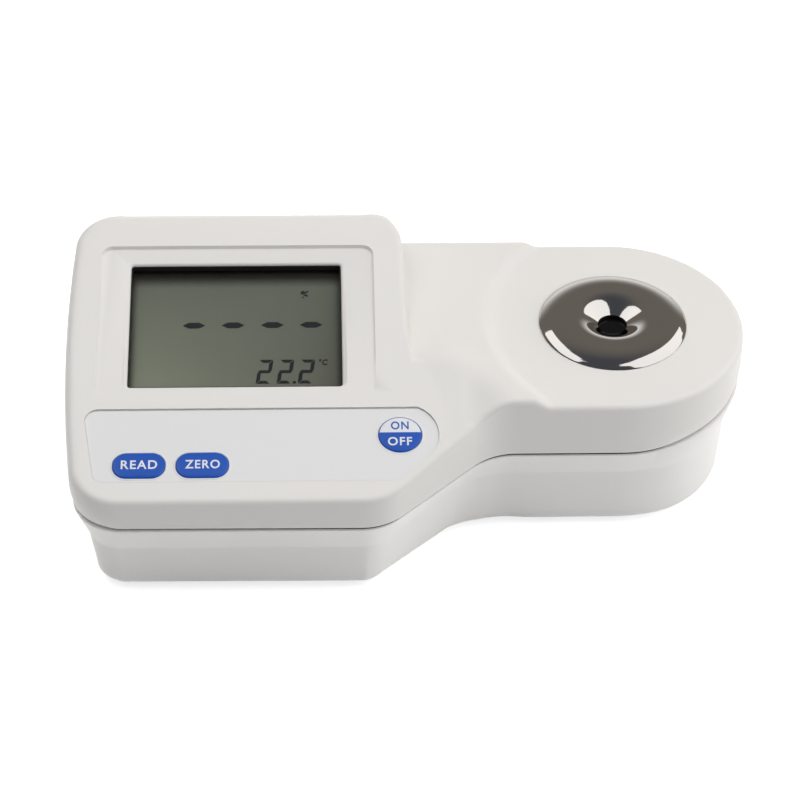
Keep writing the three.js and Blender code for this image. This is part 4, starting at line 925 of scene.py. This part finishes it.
def material(name, colour, roughness, grain=0.0, grain_size=0.4, blotch=0.03, vary=0.06, **plain):
    """Slow changes of tone and gloss over the surface, and a fine grain in relief."""
    m = bpy.data.materials.new(name)
    m.use_nodes = True
    vector = place_in(m)
    slow = noise(m, vector, SLOW_SCALE, 4.0)
    drive(m, "Base Color", blend_colours(m, slow, shifted(colour, -blotch), shifted(colour, blotch)))
    drive(m, "Roughness", ramp(m, slow, 0.3, 0.7, max(roughness - vary, 0.02), min(roughness + vary, 1.0)))
    if grain:
        relief(m, noise(m, vector, 1 / (grain_size * MM)), grain, GRAIN_DEPTH)
    for socket, number in plain.items():
        drive(m, socket.replace("_", " ").title().replace("Ior", "IOR"), number)
    return m


def stripes(m, first, second, spacing, direction, sharp=0.1):
    """Straight bands of two colours across the surface."""
    sockets = {"Vector": place_in(m), "Scale": WAVE_LENGTH / (spacing * MM)}
    wave = add_node(m, "ShaderNodeTexWave", sockets, wave_type="BANDS", bands_direction=direction)
    band = ramp(m, wave["Fac"], 0.5 - sharp, 0.5 + sharp)
    drive(m, "Base Color", blend_colours(m, band, first, second))
    return m


def display_glass():
    """The display: grey-green, browner to the right, with painted shade along its back and side edges where
    the frame of its opening shades it.
    """
    m = material("display_glass", LCD_LEFT, 0.32, vary=0.0, specular_ior_level=0.3)
    x, s, _ = add_node(m, "ShaderNodeSeparateXYZ", {"Vector": place_in(m, panel_frame)}).values()
    x0, x1, s0, s1 = (value * MM for value in OPENING)
    body = blend_colours(m, ramp(m, x, x0, x1), LCD_LEFT, LCD_RIGHT)
    body = blend_colours(m, ramp(m, s, s0, s1), body, LCD_HIGH)
    # Painted shade along three edges: the coordinate, and where the shade starts and where it is full
    painted_shades = ((s, s1 - 6.4 * MM, s1 - 1.6 * MM), (x, x0 + 2.6 * MM, x0 - 0.8 * MM),
              (x, x1 - 2.4 * MM, x1 + 1.2 * MM))
    for value, start, stop in painted_shades:
        body = blend_colours(m, ramp(m, value, start, stop, smooth=True), body, LCD_PAINTED_SHADE)
    drive(m, "Base Color", body)
    return m


def turned_steel():
    """Polished steel with the fine rings that turning leaves."""
    m = material("polished_steel", (0.60, 0.575, 0.55), 0.07, blotch=0.02, vary=0.015, metallic=1.0)
    sockets = {"Vector": place_in(m, head_frame), "Scale": 900.0, "Distortion": 1.0}
    wave = add_node(m, "ShaderNodeTexWave", sockets, wave_type="RINGS", rings_direction="Z")
    relief(m, wave["Fac"], 0.03, 0.01)
    return m


def board():
    """Green solder mask over copper tracks that show as paler lines."""
    mask = (0.012, 0.085, 0.03)
    m = material("board_mask", mask, 0.38, grain=0.05)
    bricks = add_node(m, "ShaderNodeTexBrick", {
        "Vector": place_in(m, panel_frame), "Scale": 110.0, "Mortar Size": 0.03, "Color1": mask,
        "Color2": (0.014, 0.1, 0.036), "Mortar": (0.05, 0.22, 0.08)})
    drive(m, "Base Color", bricks["Color"])
    relief(m, bricks["Fac"], 0.2, 0.03)
    return m


LCD_LEFT, LCD_RIGHT, LCD_HIGH = (0.49, 0.53, 0.395), (0.25, 0.26, 0.205), (0.275, 0.31, 0.245)
# Painted shade along the display's back and side edges
LCD_PAINTED_SHADE = (0.042, 0.038, 0.027)

moulded, printed = {"grain_size": 0.35, "blotch": 0.008}, {"grain": 0.05, "grain_size": 0.2}
casing = material("casing_plastic", (0.81, 0.79, 0.755), 0.42, grain=0.1, **moulded)
# Painted light: the lower casing takes a lighter copy of the same casing plastic, standing in for the light
# on its lower walls
casing_painted_lighter = material("casing_plastic_painted_lighter", (0.95, 0.93, 0.9), 0.45, grain=0.1, **moulded)
cover_plastic = material("cover_plastic_satin", (0.78, 0.765, 0.735), 0.45, grain=0.14, **moulded)
rubber = material("seal_rubber_matt", (0.012, 0.012, 0.012), 0.75, grain=0.3, grain_size=0.3)
foot_rubber = material("foot_rubber_matt", (0.02, 0.02, 0.02), 0.7, grain=0.35, grain_size=0.5)
film = material("keypad_print", (0.79, 0.785, 0.78), 0.38, blotch=0.006, **printed)
blue = material("key_blue_print", (0.006, 0.085, 0.47), 0.36, blotch=0.05, **printed)
blue_words = material("word_blue_print", (0.02, 0.11, 0.45), 0.4, blotch=0.04)
white = material("key_white_print", (0.78, 0.79, 0.82), 0.38, blotch=0.01, **printed)
segment_dark = material("segment_dark", (0.022, 0.027, 0.032), 0.5, blotch=0.2)
black_plastic = material("black_moulding", (0.016, 0.015, 0.013), 0.5, grain=0.15)
chip_black = material("chip_resin", (0.016, 0.016, 0.017), 0.55, grain=0.25, grain_size=0.15)
switch_black = material("switch_moulding", (0.02, 0.02, 0.022), 0.45, grain=0.1)
ivory = material("socket_ivory", (0.62, 0.58, 0.47), 0.5, grain=0.1)
steel = material("screw_zinc", (0.55, 0.56, 0.57), 0.3, grain=0.1, grain_size=0.2, vary=0.1, metallic=1.0)
polished = turned_steel()
seal_gloss = material("seal_gloss", (0.006, 0.006, 0.006), 0.35, grain=0.1)
prism_dark = material("prism_flint", (0.004, 0.004, 0.005), 0.05, vary=0.015, specular_ior_level=0.2)
lens = material("lens_crown", (0.85, 0.9, 0.93), 0.04, vary=0.015, transmission_weight=1.0)
lamp_clear = material("lamp_epoxy", (0.9, 0.78, 0.4), 0.08, vary=0.03, transmission_weight=0.6)
window = material("window_sheet", (0.012, 0.012, 0.012), 0.05, vary=0.02, specular_ior_level=1.0,
                  coat_weight=0.5, alpha=0.2)
sleeve = stripes(material("battery_sleeve", (0.03, 0.033, 0.038), 0.35, blotch=0.08, metallic=0.4),
                 (0.028, 0.03, 0.035), (0.2, 0.2, 0.21), 46.4, "X")
snap_black = material("snap_moulding", (0.014, 0.014, 0.014), 0.55, grain=0.2)
red_wire = material("wire_red", (0.42, 0.03, 0.02), 0.45, grain=0.05)
black_wire = material("wire_black", (0.014, 0.014, 0.014), 0.45, grain=0.05)
ribbon = stripes(material("ribbon_cable", (0.6, 0.61, 0.62), 0.45),
                 (0.6, 0.61, 0.63), (0.36, 0.37, 0.38), 1.0, "Y")
layered = stripes(material("layered_rubber", (0.2, 0.2, 0.19), 0.7),
                  (0.03, 0.03, 0.03), (0.42, 0.42, 0.4), 0.5, "X", 0.2)
green_board = board()


def paint(obj, *finishes):
    obj.data.materials.clear()
    for finish in finishes:
        obj.data.materials.append(finish)


def settle(obj, finish, slot, *nodes, body="casing"):
    """A piece gets its finish, the body it moves with and the solids it stands for; the slot is not used."""
    if finish:
        paint(obj, finish)
    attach(obj, body)
    if nodes:
        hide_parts(*nodes)


def dress_casing():
    settle(build_upper(), casing, "casing", "top_housing")
    # The lower casing's lighter tone is painted light, not a different plastic
    settle(build_lower(), casing_painted_lighter, "casing_lower", "bottom_housing")
    settle(build_gasket(), rubber, "gasket_rubber", "housing_gasket")
    for name, (x, y) in FEET.items():
        settle(build_foot(f"rubber_foot_{name}", x, y), foot_rubber, "foot_rubber", f"foot_{name}")
    for i, (x, y) in enumerate(SCREWS, 1):
        settle(build_screw(f"case_screw_{i}", x, y), steel, "screw_steel", f"housing_screw_{i}")
    settle(build_cover(), cover_plastic, "cover_plastic", "battery_cover", body="cover")


def dress_keypad():
    settle(build_film(), film, "keypad_film", "keypad_overlay")
    for name, key in (("read", READ_KEY), ("zero", ZERO_KEY)):
        cap = build_key(f"{name}_cap", key, KEY_DOME)
        settle(cap, blue, "key_blue", f"{name}_key", body=f"{name}_button")
    cap = build_key("power_cap", POWER_KEY, [])
    paint(cap, blue, white)
    print_white_half(cap)
    settle(cap, None, "key_power", "power_key", body="power_button")
    domed, flat = raised(key_face, KEY_DOME[-1][1] - PRINT_SINK), raised(key_face, -PRINT_SINK)
    words = (("read_word", "READ", (-79.68, -69.76, 11.1, 14.05), domed, white, "key_blue", "read_button"),
             ("zero_word", "ZERO", (-62.17, -52.67, 11.1, 14.05), domed, white, "key_blue", "zero_button"),
             ("on_word", "ON", (-5.66, -0.74, 24.0, 26.8), flat, blue_words, "key_power", "power_button"),
             ("off_word", "OFF", (-6.61, 0.07, 18.5, 21.4), flat, white, "key_power", "power_button"))
    for name, text, place, height, finish, slot, body in words:
        settle(lettering(name, text, *place, height), finish, slot, body=body)


def dress_display():
    settle(build_mask(), black_plastic, "black_plastic")
    settle(build_segments(), segment_dark, "display_grey")
    for name, text, place in (("percent_sign", "%", (-30.7, -28.0, 70.8, 73.4, 0.045)),
                              ("degree_sign", "°C", (-25.32, -22.81, 46.59, 48.74, 0.03))):
        settle(glass_words(name, text, *place), segment_dark, "display_grey")


def dress_inside():
    """The ring is rebuilt; every other solid inside keeps its shape and takes a finish."""
    settle(build_ring(), polished, "ring_steel", "sample_ring")
    screws = " ".join(f"board_screw_{i} ring_screw_{i}" for i in range(1, 5))
    for finish, names in (
            (window, "display_window"), (display_glass(), "lcd_panel"),
            (black_plastic, "lcd_holder optical_block"), (layered, "zebra_strip_lower zebra_strip_upper"),
            (switch_black, "read_switch zero_switch power_switch"),
            (green_board, "main_board led_board sensor_board"), (chip_black, "microcontroller image_sensor"),
            (ivory, "sensor_connector"), (seal_gloss, "prism_seal"), (prism_dark, "prism"),
            (lamp_clear, "led_emitter"), (lens, "collimating_lens"), (steel, "temperature_sensor " + screws),
            (sleeve, "battery"), (snap_black, "battery_snap"), (red_wire, "lead_positive"),
            (black_wire, "lead_negative"), (casing_painted_lighter, "battery_cup"), (rubber, "cover_seal"),
            (ribbon, "sensor_cable")):
        for name in names.split():
            paint(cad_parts[name], finish)


dress_casing()
dress_keypad()
dress_display()
dress_inside()

# Studio: how bright the floor glows for the camera, and the room's radiance away from the lamps
FLOOR_SIZE, FLOOR_TONE, FLOOR_GLOW = 6.0, 0.84, 0.66
ROOM_TONE, ROOM_FRONT, ROOM_WHITE = (0.195, 0.18, 0.16), (0.08, 0.085, 0.1), (1.0, 1.0, 1.0)


def floor_paper():
    """Pale paper that glows a little for the camera and in reflections, and not as a light on the object."""
    m = bpy.data.materials.new("floor_paper")
    m.use_nodes = True
    for socket, value in (("Base Color", (FLOOR_TONE,) * 3), ("Roughness", 1.0), ("Specular IOR Level", 0.0)):
        drive(m, socket, value)
    rays = add_node(m, "ShaderNodeLightPath", {})
    seen = rays["Is Camera Ray"]
    for kind in ("Is Glossy Ray", "Is Transmission Ray"):
        seen = calculated(m, "MAXIMUM", seen, rays[kind])
    glow = add_node(m, "ShaderNodeEmission", {"Strength": calculated(m, "MULTIPLY", seen, FLOOR_GLOW)})
    both = add_node(m, "ShaderNodeAddShader", {0: shader_of(m).outputs["BSDF"], 1: glow["Emission"]})
    feed(m, m.node_tree.nodes["Material Output"].inputs["Surface"], both["Shader"])
    return m


def room():
    """A dim room whose back wall brightens towards the floor."""
    world = bpy.data.worlds.new("studio")
    bpy.context.scene.world = world
    world.use_nodes = True
    direction = add_node(world, "ShaderNodeTexCoord", {})["Generated"]
    _, y, z = add_node(world, "ShaderNodeSeparateXYZ", {"Vector": direction}).values()
    back = ramp(world, y, -0.2, 0.6, smooth=True)
    middle, low = ramp(world, y, 0.72, 0.98, smooth=True), ramp(world, z, 0.6, 0.1, smooth=True)
    tone = blend_colours(world, back, ROOM_FRONT, ROOM_TONE)
    tone = blend_colours(world, calculated(world, "MULTIPLY", middle, low), tone, ROOM_WHITE)
    feed(world, world.node_tree.nodes["Background"].inputs["Color"], tone)


def toward(azimuth, elevation, distance):
    """A place seen from the ring in a direction given in degrees."""
    a, e = math.radians(azimuth), math.radians(elevation)
    ring = Vector((RING_X, RING_Y, HEAD_TOP[0])) * MM
    return ring + distance * Vector((math.cos(e) * math.cos(a), math.cos(e) * math.sin(a), math.sin(e)))


def lamp(name, first, second, under, depth, radiance, mirrored=True):
    """A soft rectangular lamp: one edge runs between two places, its face reaches towards a third."""
    across = (second - first).normalized()
    middle = (first + second) / 2
    down = under - middle
    down = (down - down.dot(across) * across).normalized()
    centre = middle + down * depth / 2
    out = across.cross(down)
    if out.dot(centre) < 0:
        out, across = -out, -across
    data = bpy.data.lights.new(name, "AREA")
    data.shape = "RECTANGLE"
    data.size, data.size_y = (second - first).length, depth
    data.energy = radiance * math.pi * data.size * depth
    obj = add_object(name, data)
    obj.matrix_world = Matrix.Translation(centre) @ Matrix((across, down, out)).transposed().to_4x4()
    obj.visible_glossy = mirrored


def studio():
    """The floor, the room and the lamps, whose places are azimuth, elevation and distance in metres."""
    size = FLOOR_SIZE
    corners = [(-size, -size, 0), (size, -size, 0), (size, size, 0), (-size, size, 0)]
    mesh = bpy.data.meshes.new("floor")
    mesh.from_pydata(corners, [], [(0, 1, 2, 3)])
    mesh.materials.append(floor_paper())
    add_object("floor", mesh)
    room()
    lamp("right_box", toward(-72, 68, 1.2), toward(44, 28, 1.3), toward(-25, 12, 1.4), 1.3, 1.3)
    lamp("left_box", toward(222, 60, 1.2), toward(130, 45, 1.25), toward(172, 15, 1.25), 0.5, 1.3)
    lamp("overhead", Vector((-0.8, 0.85, 1.5)), Vector((0.8, 0.85, 1.5)), Vector((0, -1, 1.5)), 1.3, 1.95,
         mirrored=False)
    lamp("side_fill", toward(-50, 30, 1.2), toward(10, 30, 1.2), toward(-20, 4, 1.1), 0.45, 0.35,
         mirrored=False)


# The camera fitted to the photograph: its place, and its right, up and forward directions
CAMERA_PLACE, CAMERA_LENS = Vector((-27.963, -672.359, 523.779)) * MM, 131.14
CAMERA_AXES = (Vector((0.99948968, -0.02973147, 0.01167987)), Vector((0.00811043, 0.58985911, 0.80746545)),
               Vector((0.03089662, 0.80695866, -0.58979922)))


def camera():
    data = bpy.data.cameras.new("camera")
    data.sensor_width, data.lens = 36.0, CAMERA_LENS
    data.clip_start, data.clip_end = 0.05, 30.0
    right, up, forward = CAMERA_AXES
    obj = add_object("camera", data)
    obj.matrix_world = Matrix.Translation(CAMERA_PLACE) @ Matrix((right, up, -forward)).transposed().to_4x4()
    bpy.context.scene.camera = obj


studio()
camera()
bpy.context.scene.view_settings.view_transform = "Standard"
